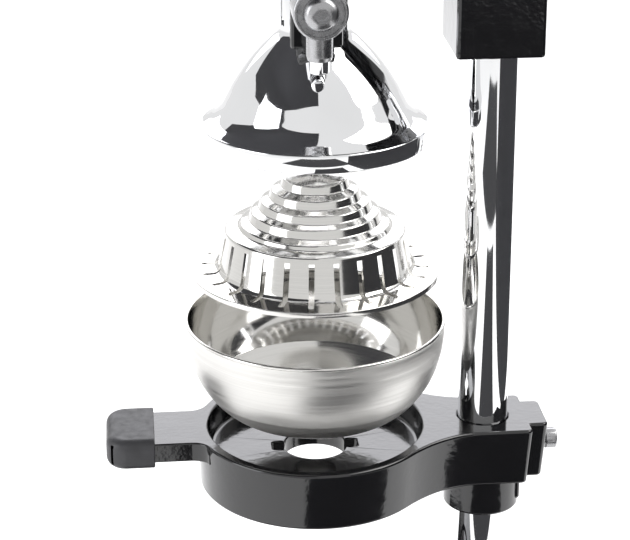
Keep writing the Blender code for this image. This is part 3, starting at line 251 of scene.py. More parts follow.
def extrude_plan(name, outline, low, high, edge=0.0, edge_steps=4, bottom_edge=False, taper=1.0):
    """Stand a plan outline up from low to high, narrowed by the taper at its foot, and round its rims."""
    piece = draw(name, [(x * taper, y * taper, low) for x, y in outline + outline[:1]])
    bpy.ops.mesh.remove_doubles(threshold=0.5e-6)
    bpy.ops.mesh.edge_face_add()
    bpy.ops.mesh.extrude_region_move(TRANSFORM_OT_translate={"value": (0, 0, high - low)})
    bpy.ops.transform.resize(value=(1 / taper, 1 / taper, 1), center_override=(0, 0, high))
    close_up()
    if edge:
        heights = (low, high) if bottom_edge else (high,)
        bevel_edges(piece, edge, edge_steps, lambda a, b: any(both_at(z, a.z, b.z) for z in heights))
    return piece


def both_at(place, first, second):
    """True where both coordinates lie at the place."""
    return abs(first - place) + abs(second - place) < SAME_PLACE


def bevel_edges(piece, width, steps, wanted):
    """Round the edges whose two ends the test wants."""
    choose(piece)
    points = piece.data.vertices
    picked = [wanted(points[edge.vertices[0]].co, points[edge.vertices[1]].co) for edge in piece.data.edges]
    bpy.ops.object.mode_set(mode="EDIT")
    bpy.ops.mesh.select_mode(type="EDGE")
    bpy.ops.mesh.select_all(action="DESELECT")
    bpy.ops.object.mode_set(mode="OBJECT")
    piece.data.edges.foreach_set("select", picked)
    bpy.ops.object.mode_set(mode="EDIT")
    bpy.ops.mesh.bevel(offset=width, segments=steps, profile=0.5, affect="EDGES")
    bpy.ops.mesh.select_mode(type="VERT")
    bpy.ops.object.mode_set(mode="OBJECT")


def box_piece(name, low, high, edge=0.0, edge_steps=3):
    deselect_all()
    size = Vector(high) - Vector(low)
    bpy.ops.mesh.primitive_cube_add(size=1, location=(0, 0, 0))
    piece = bpy.context.active_object
    piece.name = name
    bpy.ops.object.mode_set(mode="EDIT")
    bpy.ops.transform.resize(value=size)
    bpy.ops.transform.translate(value=(Vector(low) + Vector(high)) / 2)
    bpy.ops.object.mode_set(mode="OBJECT")
    if edge:
        bevel_edges(piece, edge, edge_steps, lambda a, b: True)
    return piece


def combine(piece, tool, operation, solver="EXACT"):
    """Join the tool to the piece or cut it away, and use it up."""
    choose(piece)
    modifier = piece.modifiers.new("combine", "BOOLEAN")
    modifier.operation = operation
    modifier.solver = solver
    modifier.object = tool
    bpy.ops.object.modifier_apply(modifier=modifier.name)
    bpy.data.objects.remove(tool, do_unlink=True)
    bpy.ops.object.mode_set(mode="EDIT")
    bpy.ops.mesh.select_all(action="SELECT")
    bpy.ops.mesh.remove_doubles(threshold=2e-6)
    bpy.ops.mesh.dissolve_degenerate(threshold=1e-6)
    bpy.ops.object.mode_set(mode="OBJECT")
    return piece


def shift(piece, step):
    """Move a piece's mesh, while its object stays at the origin."""
    choose(piece)
    bpy.ops.object.mode_set(mode="EDIT")
    bpy.ops.mesh.select_all(action="SELECT")
    bpy.ops.transform.translate(value=step)
    close_up()


def joined(pieces):
    """Several pieces that don't touch, as one object."""
    deselect_all()
    for piece in pieces:
        piece.select_set(True)
    bpy.context.view_layer.objects.active = pieces[0]
    bpy.ops.object.join()
    return pieces[0]


def add(piece, tool):
    return combine(piece, tool, "UNION")


def cut(piece, tool, solver="EXACT"):
    return combine(piece, tool, "DIFFERENCE", solver)


def arc(centre, radius, start, end, steps):
    """Points of an arc, with angles in degrees."""
    angles = [math.radians(start + (end - start) * step / steps) for step in range(steps + 1)]
    return [(centre[0] + radius * math.cos(a), centre[1] + radius * math.sin(a)) for a in angles]


def rounded(corners, steps=5):
    """Outline through (x, y, rounding) corners, each turned into an arc of that radius."""
    outline = []
    for index, (x, y, radius) in enumerate(corners):
        here = Vector((x, y))
        if not radius or index in (0, len(corners) - 1):
            outline.append((x, y))
            continue
        back = (Vector(corners[index - 1][:2]) - here).normalized()
        ahead = (Vector(corners[index + 1][:2]) - here).normalized()
        half = back.angle(ahead) / 2
        if half > math.radians(89.5):
            outline.append((x, y))
            continue
        reach = radius / math.tan(half)
        centre = here + (back + ahead).normalized() * radius / math.sin(half)
        first, last = here + back * reach - centre, here + ahead * reach - centre
        for step in range(steps + 1):
            spoke = first.normalized().slerp(last.normalized(), step / steps)
            outline.append(tuple(centre + spoke * radius))
    return outline


def flowing(points, steps=6):
    """A smooth curve through a few points."""
    ends = [points[0]] + list(points) + [points[-1]]
    curve = []
    for a, b, c, d in zip(ends, ends[1:], ends[2:], ends[3:]):
        a, b, c, d = (Vector(point) for point in (a, b, c, d))
        for step in range(steps):
            t = step / steps
            curve.append(tuple(0.5 * (2 * b + (c - a) * t + (2 * a - 5 * b + 4 * c - d) * t ** 2
                                      + (3 * b - a - 3 * c + d) * t ** 3)))
    return curve + [tuple(points[-1])]


def inset_outline(outline, distance):
    """An open outline moved to its inner side by a constant wall."""
    moved = []
    for index, point in enumerate(outline):
        before = Vector(outline[max(index - 1, 0)])
        after = Vector(outline[min(index + 1, len(outline) - 1)])
        along = (after - before).normalized()
        moved.append((point[0] + along.y * distance, point[1] - along.x * distance))
    return moved


def shade(piece, angle=32, weighted=False):
    choose(piece)
    bpy.ops.object.shade_smooth_by_angle(angle=math.radians(angle))
    if weighted:
        modifier = piece.modifiers.new("flat faces", "WEIGHTED_NORMAL")
        modifier.keep_sharp = True
        bpy.ops.object.modifier_apply(modifier=modifier.name)
    deselect_all()


def hand_over(piece, body, slot, node, angle=32, weighted=False):
    """Shade a finished piece, give it its finish and hang it on its body in place of its CAD node."""
    shade(piece, angle, weighted)
    piece.data.materials.clear()
    for name in FINISHES[slot]:
        piece.data.materials.append(finish(name))
    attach(piece, body)
    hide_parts(node)


def two_finishes(piece, outward):
    """Give the faces that the test calls outward the second finish."""
    indices = [int(outward(face.center, face.normal)) for face in piece.data.polygons]
    piece.data.polygons.foreach_set("material_index", indices)


# ---------------------------------------------------------------- finishes

def blank_finish(name):
    look = bpy.data.materials.get(name)
    if look:
        bpy.data.materials.remove(look)
    look = bpy.data.materials.new(name)
    look.use_nodes = True
    return look, look.node_tree, look.node_tree.nodes["Principled BSDF"]


def object_point(tree):
    return tree.nodes.new("ShaderNodeTexCoord").outputs["Object"]


def noise(tree, vector, size, detail=2.0, roughness=0.5):
    node = tree.nodes.new("ShaderNodeTexNoise")
    node.inputs["Scale"].default_value = 1 / size
    node.inputs["Detail"].default_value = detail
    node.inputs["Roughness"].default_value = roughness
    tree.links.new(vector, node.inputs["Vector"])
    return node.outputs["Fac"]


def spread(tree, value, low, high, start=0.3, end=0.7):
    """Map a 0..1 pattern to low..high."""
    node = tree.nodes.new("ShaderNodeMapRange")
    node.inputs["From Min"].default_value = start
    node.inputs["From Max"].default_value = end
    node.inputs["To Min"].default_value = low
    node.inputs["To Max"].default_value = high
    tree.links.new(value, node.inputs["Value"])
    return node.outputs["Result"]


def blend_colours(tree, value, first, second):
    node = tree.nodes.new("ShaderNodeMix")
    node.data_type = "RGBA"
    node.inputs["A"].default_value = (*first, 1)
    node.inputs["B"].default_value = (*second, 1)
    tree.links.new(value, node.inputs["Factor"])
    return node.outputs["Result"]


def bump(tree, height, distance, before=None):
    node = tree.nodes.new("ShaderNodeBump")
    node.inputs["Distance"].default_value = distance
    node.inputs["Strength"].default_value = 1
    tree.links.new(height, node.inputs["Height"])
    if before:
        tree.links.new(before, node.inputs["Normal"])
    return node.outputs["Normal"]


def around_axis(tree, x, y):
    """Coordinates (radius, height) about an upright axis, for marks left by spinning."""
    move = tree.nodes.new("ShaderNodeMapping")
    move.inputs["Location"].default_value = (-x, -y, 0)
    tree.links.new(object_point(tree), move.inputs["Vector"])
    parts = tree.nodes.new("ShaderNodeSeparateXYZ")
    tree.links.new(move.outputs["Vector"], parts.inputs["Vector"])
    flat = tree.nodes.new("ShaderNodeCombineXYZ")
    tree.links.new(parts.outputs["X"], flat.inputs["X"])
    tree.links.new(parts.outputs["Y"], flat.inputs["Y"])
    radius = tree.nodes.new("ShaderNodeVectorMath")
    radius.operation = "LENGTH"
    tree.links.new(flat.outputs["Vector"], radius.inputs[0])
    unrolled = tree.nodes.new("ShaderNodeCombineXYZ")
    tree.links.new(radius.outputs["Value"], unrolled.inputs["X"])
    tree.links.new(parts.outputs["Z"], unrolled.inputs["Z"])
    return unrolled.outputs["Vector"]


def enamel_finish(settings):
    look, tree, shader = blank_finish("Black enamel")
    place = object_point(tree)
    dark = tuple(channel * 0.75 for channel in settings.colour)
    cloud = spread(tree, noise(tree, place, 18 * MM, 3), 0, 1)
    tree.links.new(blend_colours(tree, cloud, settings.colour, dark), shader.inputs["Base Color"])
    dust = spread(tree, noise(tree, place, 7 * MM, 4), settings.roughness * 0.8, settings.roughness * 1.35)
    tree.links.new(dust, shader.inputs["Roughness"])
    waves = bump(tree, noise(tree, place, settings.ripple, 1.5, 0.45), settings.ripple_height)
    skin = bump(tree, noise(tree, place, settings.ripple * 5, 1), settings.ripple_height * 2.2, waves)
    tree.links.new(skin, shader.inputs["Normal"])
    shader.inputs["Coat Weight"].default_value = 0.4
    shader.inputs["Coat Roughness"].default_value = 0.05
    shader.inputs["Specular IOR Level"].default_value = 0.62
    return look


def chrome_finish(settings):
    look, tree, shader = blank_finish("Chrome plate")
    place = object_point(tree)
    shader.inputs["Metallic"].default_value = 1
    cloud = spread(tree, noise(tree, place, 30 * MM, 3), 0, 1)
    soft = tuple(channel * 0.965 for channel in settings.chrome)
    tree.links.new(blend_colours(tree, cloud, settings.chrome, soft), shader.inputs["Base Color"])
    rough = settings.chrome_roughness
    tree.links.new(spread(tree, noise(tree, place, 9 * MM, 4), rough * 0.7, rough * 1.5),
                   shader.inputs["Roughness"])
    tree.links.new(bump(tree, noise(tree, place, 14 * MM, 1), 0.004 * MM), shader.inputs["Normal"])
    return look


def spun_finish(name, colour, roughness, marks, mark_height):
    """Stainless steel with rings left by spinning about the press axis."""
    look, tree, shader = blank_finish(name)
    place = object_point(tree)
    rings = around_axis(tree, PRESS_X, 0)
    shader.inputs["Metallic"].default_value = 1
    lines = noise(tree, rings, marks, 3, 0.6)
    grey = tuple(channel * 0.88 for channel in colour)
    tree.links.new(blend_colours(tree, spread(tree, lines, 0, 1), colour, grey), shader.inputs["Base Color"])
    tree.links.new(spread(tree, noise(tree, rings, marks * 6, 4), roughness * 0.75, roughness * 1.3),
                   shader.inputs["Roughness"])
    grain = bump(tree, lines, mark_height)
    dents = bump(tree, noise(tree, place, 16 * MM, 2), 0.010 * MM, grain)
    tree.links.new(dents, shader.inputs["Normal"])
    return look


def machined_finish(name, colour, roughness, grain=0.5 * MM):
    look, tree, shader = blank_finish(name)
    place = object_point(tree)
    shader.inputs["Metallic"].default_value = 1
    fine = noise(tree, place, grain, 4, 0.6)
    dark = tuple(channel * 0.8 for channel in colour)
    tree.links.new(blend_colours(tree, spread(tree, fine, 0, 1), colour, dark), shader.inputs["Base Color"])
    tree.links.new(spread(tree, noise(tree, place, grain * 8, 3), roughness * 0.8, roughness * 1.25),
                   shader.inputs["Roughness"])
    tree.links.new(bump(tree, fine, 0.004 * MM), shader.inputs["Normal"])
    return look


def moulded_finish(name, colour, roughness, grain, height):
    look, tree, shader = blank_finish(name)
    place = object_point(tree)
    cloud = spread(tree, noise(tree, place, 12 * MM, 4), 0, 1)
    pale = tuple(min(channel * 1.5, 1) for channel in colour)
    tree.links.new(blend_colours(tree, cloud, colour, pale), shader.inputs["Base Color"])
    tree.links.new(spread(tree, noise(tree, place, grain * 4, 3), roughness * 0.85, min(roughness * 1.2, 1)),
                   shader.inputs["Roughness"])
    tree.links.new(bump(tree, noise(tree, place, grain, 3), height), shader.inputs["Normal"])
    return look


def finish(kind):
    """One of the press's finishes, made when it is first asked for."""
    scene = bpy.context.scene
    enamel, metal, soft = scene.press_enamel, scene.press_metal, scene.press_soft
    makers = {
        "Black enamel": lambda: enamel_finish(enamel),
        "Chrome plate": lambda: chrome_finish(metal),
        "Polished stainless": lambda: spun_finish("Polished stainless", metal.stainless, metal.polished,
                                                  metal.marks, 0.0012 * MM),
        "Satin stainless": lambda: spun_finish("Satin stainless", metal.stainless, metal.satin,
                                               metal.marks, 0.0015 * MM),
        "Bright steel": lambda: machined_finish("Bright steel", (0.50, 0.50, 0.51), 0.26),
        "Turned bronze": lambda: machined_finish("Turned bronze", (0.62, 0.43, 0.20), 0.32),
        "Moulded rubber": lambda: moulded_finish("Moulded rubber", soft.rubber, 0.42, 1.1 * MM, 0.03 * MM),
        "Grip plastic": lambda: moulded_finish("Grip plastic", soft.plastic, 0.30, 0.8 * MM, 0.006 * MM),
    }
    return bpy.data.materials.get(kind) or makers[kind]()


# ---------------------------------------------------------------- base and column

def slab_outline(half_x, half_y, corner):
    """Plan of a block with round corners."""
    centres = [(half_x - corner, half_y - corner, 0), (corner - half_x, half_y - corner, 90),
               (corner - half_x, corner - half_y, 180), (half_x - corner, corner - half_y, 270)]
    outline = []
    for x, y, start in centres:
        outline += arc((x, y), corner, start, start + 90, 10)
    return outline


def make_base(body):
    low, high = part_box("base_casting")
    top = high.z - body.boss_height
    form = extrude_plan("base_body", slab_outline(high.x, high.y, body.base_corner), low.z, top,
                        body.base_edge, 6)
    boss_radius, blend, edge = body.boss_radius, 4 * MM, 1.5 * MM
    boss = [(0, top - blend), (boss_radius + blend, top - blend), (boss_radius + blend, top)]
    boss += arc((boss_radius + blend, top + blend), blend, 270, 180, 6)[1:]
    boss += arc((boss_radius - edge, high.z - edge), edge, 0, 90, 4) + [(0, high.z)]
    form = add(form, lathe("boss", boss, centre=(COLUMN_X, 0, 0)))
    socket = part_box("column")[0].z - FIT_GAP
    bore, chamfer, past = COLUMN_RADIUS + FIT_GAP, 0.8 * MM, 5 * MM
    socket_outline = [(0, socket), (bore, socket), (bore, high.z - chamfer), (bore + chamfer, high.z),
                      (bore + chamfer, high.z + past), (0, high.z + past)]
    form = cut(form, lathe("socket", socket_outline, centre=(COLUMN_X, 0, 0)))
    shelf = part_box("column_washer")[1].z
    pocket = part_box("column_washer")[1].x - COLUMN_X + 2 * MM
    pocket_outline = [(0, low.z - past), (pocket, low.z - past), (pocket, shelf), (COLUMN_BOLT_HOLE, shelf),
                      (COLUMN_BOLT_HOLE, socket + 2 * MM), (0, socket + 2 * MM)]
    form = cut(form, lathe("bolt pocket", pocket_outline, centre=(COLUMN_X, 0, 0)))
    floor, tray_radius = top - body.tray_depth, body.tray_radius
    slope = flowing([(tray_radius - 3 * MM, floor), (tray_radius, floor + 1.2 * MM),
                     (tray_radius + 2 * MM, top + 0.3 * MM)], 4)
    tray = [(0, floor)] + slope + [(tray_radius + 2 * MM, top + past), (0, top + past)]
    form = cut(form, lathe("tray", tray, BOWL_STEPS, centre=(PRESS_X, 0, 0)))
    for corner in CORNERS:
        screw_low, screw_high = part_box("foot_screw_" + corner)
        middle = (screw_low + screw_high) / 2
        form = cut(form, round_tool("screw hole", FOOT_SCREW_HOLE, low.z - MM, screw_high.z + MM, SCREW_STEPS,
                                    centre=(middle.x, middle.y, 0)))
    hand_over(form, "frame", "black_enamel", "base_casting", weighted=True)


def make_feet():
    low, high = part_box("foot_front_right")
    radius, height = (high.x - low.x) / 2, high.z
    sink, shelf, crease = 5.2 * MM, 5.8 * MM, 0.2 * MM
    outline = rounded([(sink, 0, 0), (radius - MM, 0, 0.8 * MM), (radius, 1.2 * MM, 0.8 * MM),
                       (radius - MM, height, 0.6 * MM), (FOOT_SCREW_HOLE, height, crease),
                       (FOOT_SCREW_HOLE, shelf, crease), (sink, shelf, crease), (sink, 0, 0)])
    first = lathe("foot_pad", outline, 64)
    for corner in CORNERS:
        foot = first.copy()
        foot.data = first.data.copy()
        foot.name = "foot_pad_" + corner
        bpy.context.scene.collection.objects.link(foot)
        low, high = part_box("foot_" + corner)
        shift(foot, ((low.x + high.x) / 2, (low.y + high.y) / 2, 0))
        hand_over(foot, "frame", "rubber", "foot_" + corner)
    bpy.data.objects.remove(first, do_unlink=True)


def make_column():
    low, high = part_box("column")
    edge, bore_end = MM, low.z + 24 * MM
    outline = [(0, bore_end), (COLUMN_BOLT_HOLE, bore_end), (COLUMN_BOLT_HOLE, low.z),
               (COLUMN_RADIUS - edge, low.z)]
    outline += arc((COLUMN_RADIUS - edge, low.z + edge), edge, -90, 0, 4)[1:]
    outline += arc((COLUMN_RADIUS - edge, high.z - edge), edge, 0, 90, 4) + [(0, high.z)]
    tube = lathe("column_tube", outline, 160, centre=(COLUMN_X, 0, 0))
    hand_over(tube, "frame", "chrome", "column")
    low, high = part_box("column_plug")
    radius, edge = (high.x - low.x) / 2, 2.2 * MM
    outline = [(0, low.z), (radius, low.z), (radius, high.z - edge)]
    outline += arc((radius - edge, high.z - edge), edge, 0, 75, 6)[1:] + [(0, high.z)]
    plug = lathe("column_top_plug", outline, centre=(COLUMN_X, 0, 0))
    hand_over(plug, "frame", "black_plastic", "column_plug")


# ---------------------------------------------------------------- cup holder

def holder_plan(holder):
    """Plan of the ring, the arm that leaves it along its tangents, and the lug behind the column."""
    start = math.radians(44.2)     # where the flare leaves the ring along its tangent
    ring_x, ring_y = holder.radius * math.cos(start), holder.radius * math.sin(start)
    flare_x = COLUMN_X - PRESS_X - 4 * MM
    half = holder.arm_half_width
    side, steps = [], 16
    for step in range(steps + 1):
        reach = step / steps
        side.append((ring_x + (flare_x - ring_x) * reach, half + (ring_y - half) * (1 - reach) ** 2))
    lug_half, corner = 15 * MM, 3 * MM
    rear = HOLDER_REAR - 10 * MM
    near = rounded([(flare_x, -half, 0), (rear, -half, corner), (rear, -lug_half - 0.2 * MM, 0.15 * MM),
                    (HOLDER_REAR, -lug_half, corner), (HOLDER_REAR, 0, 0)], 6)
    far = [(x, -y) for x, y in reversed(near[:-1])]
    ring = arc((0, 0), holder.radius, math.degrees(start), 360 - math.degrees(start), 150)
    return ring[:-1] + [(x, -y) for x, y in side] + near[1:] + far[:-1] + side[:0:-1]


def tab_plan(holder):
    """Plan of the thumb tab with its flares, which touch the ring."""
    half, flare, radius = holder.tab_half_width, 10 * MM, holder.radius
    centre = (-math.sqrt((radius + flare) ** 2 - (half + flare) ** 2), half + flare)
    touch = math.degrees(math.atan2(-centre[1], -centre[0]))
    far = arc(centre, flare, touch, -90, 10)
    corner = 6 * MM
    end = arc((-TAB_TIP + corner, half - corner), corner, 90, 180, 6)
    inside = (far[0][0] * 0.9, far[0][1] * 0.9)
    upper = [inside] + far + end
    return upper + [(x, -y) for x, y in reversed(upper)]


def make_holder(holder):
    low, edge, radius = -holder.height, holder.edge, holder.radius
    foot = radius - 1.5 * MM
    form = extrude_plan("holder_casting", holder_plan(holder), low, 0, edge, 5, True, foot / radius)
    tab = extrude_plan("tab", tab_plan(holder), -holder.tab_thickness, -0.02 * MM, MM, 4, True)
    form = add(form, tab)
    column = (COLUMN_X - PRESS_X, 0, 0)
    collar_low, collar_radius, collar_edge, overlap = HOLDER_LOW - HOLDER_TOP, 21 * MM, 1.5 * MM, 4 * MM
    collar = [(0, collar_low)]
    collar += arc((collar_radius - collar_edge, collar_low + collar_edge), collar_edge, -90, 0, 5)
    collar += [(collar_radius, low + overlap), (0, low + overlap)]
    form = add(form, lathe("collar", collar, centre=column))
    rib_front, rib_rear, rib_half = column[0] + 16 * MM, HOLDER_REAR - 14 * MM, 11 * MM
    rib = box_piece("rib", (rib_front, -rib_half, collar_low + 4 * MM), (rib_rear, rib_half, low + overlap),
                    2 * MM, 4)
    form = add(form, rib)
    wall, floor = radius - holder.wall, -holder.recess
    root = 3 * MM
    recess = [(0, floor)] + arc((wall - 1.6 * MM - root, floor + root), root, -90, 0, 6)
    recess += [(wall - 0.7 * MM, -2.0 * MM)] + arc((wall + 1.2 * MM, -1.6 * MM), 1.7 * MM, 180, 110, 6)
    recess += [(wall + 1.2 * MM, 8 * MM), (0, 8 * MM)]
    form = cut(form, lathe("recess", recess, BOWL_STEPS))
    ceiling = floor - holder.floor
    root = 2.4 * MM
    under = [(0, low - 8 * MM), (foot - 6 * MM, low - 8 * MM), (foot - 6.5 * MM, low),
             (foot - 8.5 * MM, ceiling - 2 * MM)]
    under += arc((foot - 11 * MM, ceiling - root), root, 0, 90, 4) + [(0, ceiling)]
    form = cut(form, lathe("underside", under, BOWL_STEPS))
    past = 5 * MM
    form = cut(form, round_tool("hole", holder.hole_radius, low, past))
    reach, half = holder.hole_radius + holder.notch_reach, holder.notch_width / 2
    form = cut(form, extrude_plan("notches", slab_outline(reach, half, 2 * MM), low, past))
    bevel_edges(form, 0.8 * MM, 3, lambda a, b: both_at(floor, a.z, b.z)
                and max(a.xy.length, b.xy.length) < reach + MM)
    bore, chamfer = COLUMN_RADIUS + 0.4 * MM, 0.7 * MM
    column_bore = [(0, collar_low - MM), (bore, collar_low - MM), (bore, -chamfer), (bore + chamfer, 0),
                   (bore + chamfer, past), (0, past)]
    form = cut(form, lathe("bore", column_bore, centre=column))
    form = cut(form, round_tool("screw hole", HOLDER_SCREW_HOLE, COLUMN_RADIUS, 60 * MM, SCREW_STEPS,
                                along="X", centre=(column[0], 0, low / 2)))
    shift(form, (PRESS_X, 0, HOLDER_TOP))
    hand_over(form, "holder", "black_enamel", "cup_holder", weighted=True, angle=34)


def make_clamp_knob():
    """Knurled clamp screw behind the column."""
    low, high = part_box("holder_clamp_screw")
    middle = (low.z + high.z) / 2
    knob = high.x - 6.5 * MM
    shank, radius = 3 * MM, 5.8 * MM
    outline = [(0, low.x), (shank - 0.6 * MM, low.x), (shank, low.x + 0.8 * MM), (shank, knob)]
    outline += rounded([(shank, knob, 0), (radius, knob, 0.6 * MM), (radius, high.x, 0.9 * MM),
                        (0, high.x, 0)])[1:]
    form = lathe("clamp_knob", outline, 48, along="X", centre=(0, 0, middle))
    grooves, count, groove_ring = [], 24, radius + 0.15 * MM
    for step in range(count):
        angle = 2 * math.pi * step / count
        centre = (0, groove_ring * math.cos(angle), middle + groove_ring * math.sin(angle))
        grooves.append(round_tool("groove", 0.35 * MM, knob + MM, high.x - 1.2 * MM, 8, "X", centre))
    form = cut(form, joined(grooves))
    hand_over(form, "holder", "steel", "holder_clamp_screw")


def make_tab_cap(holder):
    low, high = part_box("tab_cap")
    form = box_piece("thumb_cap", low, high)
    end = high.x - 5 * MM
    bevel_edges(form, 11 * MM, 10, lambda a, b: max(a.x, b.x) < end and abs(a.z - b.z) > 5 * MM)
    bevel_edges(form, 5.2 * MM, 8, lambda a, b: abs(a.z - b.z) < SAME_PLACE and min(a.x, b.x) < high.x - MM)
    half = holder.tab_half_width + FIT_GAP
    centre_z = (low.z + high.z) / 2
    thick = holder.tab_thickness / 2 + FIT_GAP
    hollow = box_piece("tab room", (PRESS_X - TAB_TIP - FIT_GAP, -half, centre_z - thick),
                       (high.x + 10 * MM, half, centre_z + thick), 0.8 * MM, 2)
    form = cut(form, hollow)
    bevel_edges(form, 0.7 * MM, 3, lambda a, b: both_at(high.x, a.x, b.x))
    hand_over(form, "holder", "rubber", "tab_cap", weighted=True)


# ---------------------------------------------------------------- bowl, strainer and bell

STRAINER_HEIGHT = 54.8 * MM     # of the tip above the flange
# Radius and height of each ridge of the strainer's dome above the flange, in mm
TREADS = [(17.0, 51.8), (23.3, 45.1), (29.0, 38.9), (34.3, 33.0), (40.0, 26.8), (48.3, 22.5)]


def make_bowl(bowl):
    wall, straight, bead = bowl.wall, -bowl.straight, bowl.bead
    radius = BOWL_RADIUS - bead
    bottom, flat = -bowl.depth, radius - 37.5 * MM
    floor = bottom + wall
    spout_end = BOWL_LOW - BOWL_RIM
    spout, spout_in = bowl.spout_radius, bowl.spout_radius - wall
    rim = arc((radius - wall / 2 + bead / 2, -(wall + bead) / 2), (wall + bead) / 2, 180, -60, 12)
    side = [(radius, -2.6 * MM), (radius, straight), (radius - 1.1 * MM, -17 * MM),
            (radius - 4.2 * MM, -28 * MM), (radius - 8.6 * MM, -36.6 * MM),
            (radius - 14.4 * MM, -44.2 * MM), (radius - 21.5 * MM, -50.2 * MM),
            (radius - 30.0 * MM, -54.0 * MM), (flat, bottom)]
    outside = flowing(side, 6)
    lip = floor + 0.8 * MM
    lower = rounded([(flat, bottom, 0), (spout, bottom, 1.2 * MM), (spout, spout_end, 0.5 * MM),
                     (spout_in, spout_end, 0.4 * MM), (spout_in, lip, 0.5 * MM),
                     (spout_in + 1.4 * MM, lip, 0.5 * MM), (spout_in + 2.4 * MM, floor, 0.8 * MM),
                     (bowl.disc_radius, floor, 0)])
    inside = [point for point in inset_outline(outside, wall) if point[0] > bowl.crease_radius][1:]
    cone_top = inside[-1]
    cone = rounded([(bowl.disc_radius - 2 * MM, floor, 0), (bowl.disc_radius, floor, 1.2 * MM),
                    (cone_top[0] - 0.6 * MM, cone_top[1] - 0.9 * MM, 0.5 * MM), (*cone_top, 0)])
    outline = rim + outside + lower[1:-1] + cone + inside[-2::-1]
    form = lathe("bowl_shell", outline, BOWL_STEPS, closed=True)
    lug_reach, lug_half, lug_height = spout + 5 * MM, 4.5 * MM, 3.5 * MM
    for way in (-1, 1):
        inner, outer = sorted((way * (spout_in + 0.7 * MM), way * lug_reach))
        lug = box_piece("lug", (inner, -lug_half, spout_end), (outer, lug_half, spout_end + lug_height),
                        0.6 * MM)
        form = add(form, lug)
    shift(form, (PRESS_X, 0, BOWL_RIM))
    hand_over(form, "bowl", "stainless", "bowl")
    two_finishes(form, lambda place, normal: faces_out(place, normal) and place.z < BOWL_RIM - 2.2 * MM)


def faces_out(place, normal):
    """True where a face of a hollow turned piece looks outwards or down."""
    away = Vector((place.x - PRESS_X, place.y)).normalized()
    return away.dot(normal.xy) - normal.z > 0.02


def turned(plan, degrees):
    """A plan outline turned about the origin."""
    cosine, sine = math.cos(math.radians(degrees)), math.sin(math.radians(degrees))
    return [(x * cosine - y * sine, x * sine + y * cosine) for x, y in plan]


def strainer_profile(strainer):
    """Stepped dome, slotted wall and flange from the tip outwards; the flange's top is at 0."""
    nose, tip = strainer.nose, STRAINER_HEIGHT
    corners = [(0, tip, 0), (0.8 * MM, tip - 0.3 * MM, 0.4 * MM), (4.4 * MM, tip - 2.9 * MM, 0.6 * MM)]
    for (radius, height), (_, below) in zip(TREADS, TREADS[1:]):
        corners += [(radius * MM, (height - 0.7) * MM, nose),
                    ((radius + 1.4) * MM, (below + 1.0) * MM, nose * 0.7)]
    wall_radius, wall_height = TREADS[-1]
    corners += [(wall_radius * MM, wall_height * MM, nose), ((wall_radius + 4.3) * MM, 0, 4.0 * MM),
                (STRAINER_RADIUS, 0, 0.6 * MM), (STRAINER_RADIUS, STRAINER_LOW - STRAINER_TIP + tip, 0)]
    return rounded(corners, 5)


def make_strainer(strainer):
    outside = strainer_profile(strainer)
    wall = strainer.wall
    rim_low = outside[-1][1]
    slant = wall * 0.7
    crown, hem = 50.4 * MM, (46.9 * MM, 21.1 * MM)
    inner = [(0, crown), (15.6 * MM, crown)]
    inner += [(radius * MM - slant, (below - 1.0) * MM)
              for (radius, _), (_, below) in zip(TREADS, TREADS[1:])]
    inner.append(hem)
    skirt = rounded([(*hem, 0), (51.2 * MM, -wall, 4.2 * MM), (STRAINER_RADIUS - wall, -wall, 0.2 * MM),
                     (STRAINER_RADIUS - wall, rim_low, 0)])
    form = lathe("strainer_shell", outside + (inner + skirt[1:])[::-1], BOWL_STEPS)
    half = strainer.slot_width / 2
    start, end, low, high = 45.5 * MM, 61.4 * MM, -5 * MM, 19.4 * MM
    plan = [(start, -half), *arc((end - half, 0), half, -90, 90, 6), (start, half)]
    slots = [extrude_plan("slot", turned(plan, 360 * (index + 0.5) / strainer.slots), low, high)
             for index in range(strainer.slots)]
    form = cut(form, joined(slots), "FAST")
    shift(form, (PRESS_X, 0, STRAINER_TIP - STRAINER_HEIGHT))
    hand_over(form, "strainer", "stainless", "strainer")
    two_finishes(form, faces_out_below)


def faces_out_below(place, normal):
    """True for the strainer's underside and the hidden inside of its dome."""
    away = Vector((place.x - PRESS_X, place.y)).normalized()
    return normal.z - away.dot(normal.xy) * 0.2 < -0.35


def bell_profile():
    """Outside of the bell from the neck down; the top of the rim band is at 0."""
    neck_radius, neck_foot, steps = 20 * MM, 48 * MM, 12
    flank_width, flank_height = 24 * MM, 29.1 * MM
    flank = [(neck_radius, neck_foot)]
    for step in range(1, steps + 1):
        reach = step / steps
        bulge = 1.1 * MM * math.sin(math.pi * reach)
        flank.append((neck_radius + flank_width * reach + bulge, neck_foot - flank_height * reach + bulge))
    neck = [(18.5 * MM, 52.0 * MM), (18.7 * MM, 50.2 * MM)]
    flare = flowing([flank[-1], (47.2 * MM, 12.8 * MM), (50.0 * MM, 7.8 * MM), (53.5 * MM, 3.8 * MM),
                     (57.0 * MM, 1.4 * MM), (BELL_RADIUS - MM, 0)], 5)
    return flowing(neck + flank[:2], 4)[:-1] + flank[1:-1] + flare


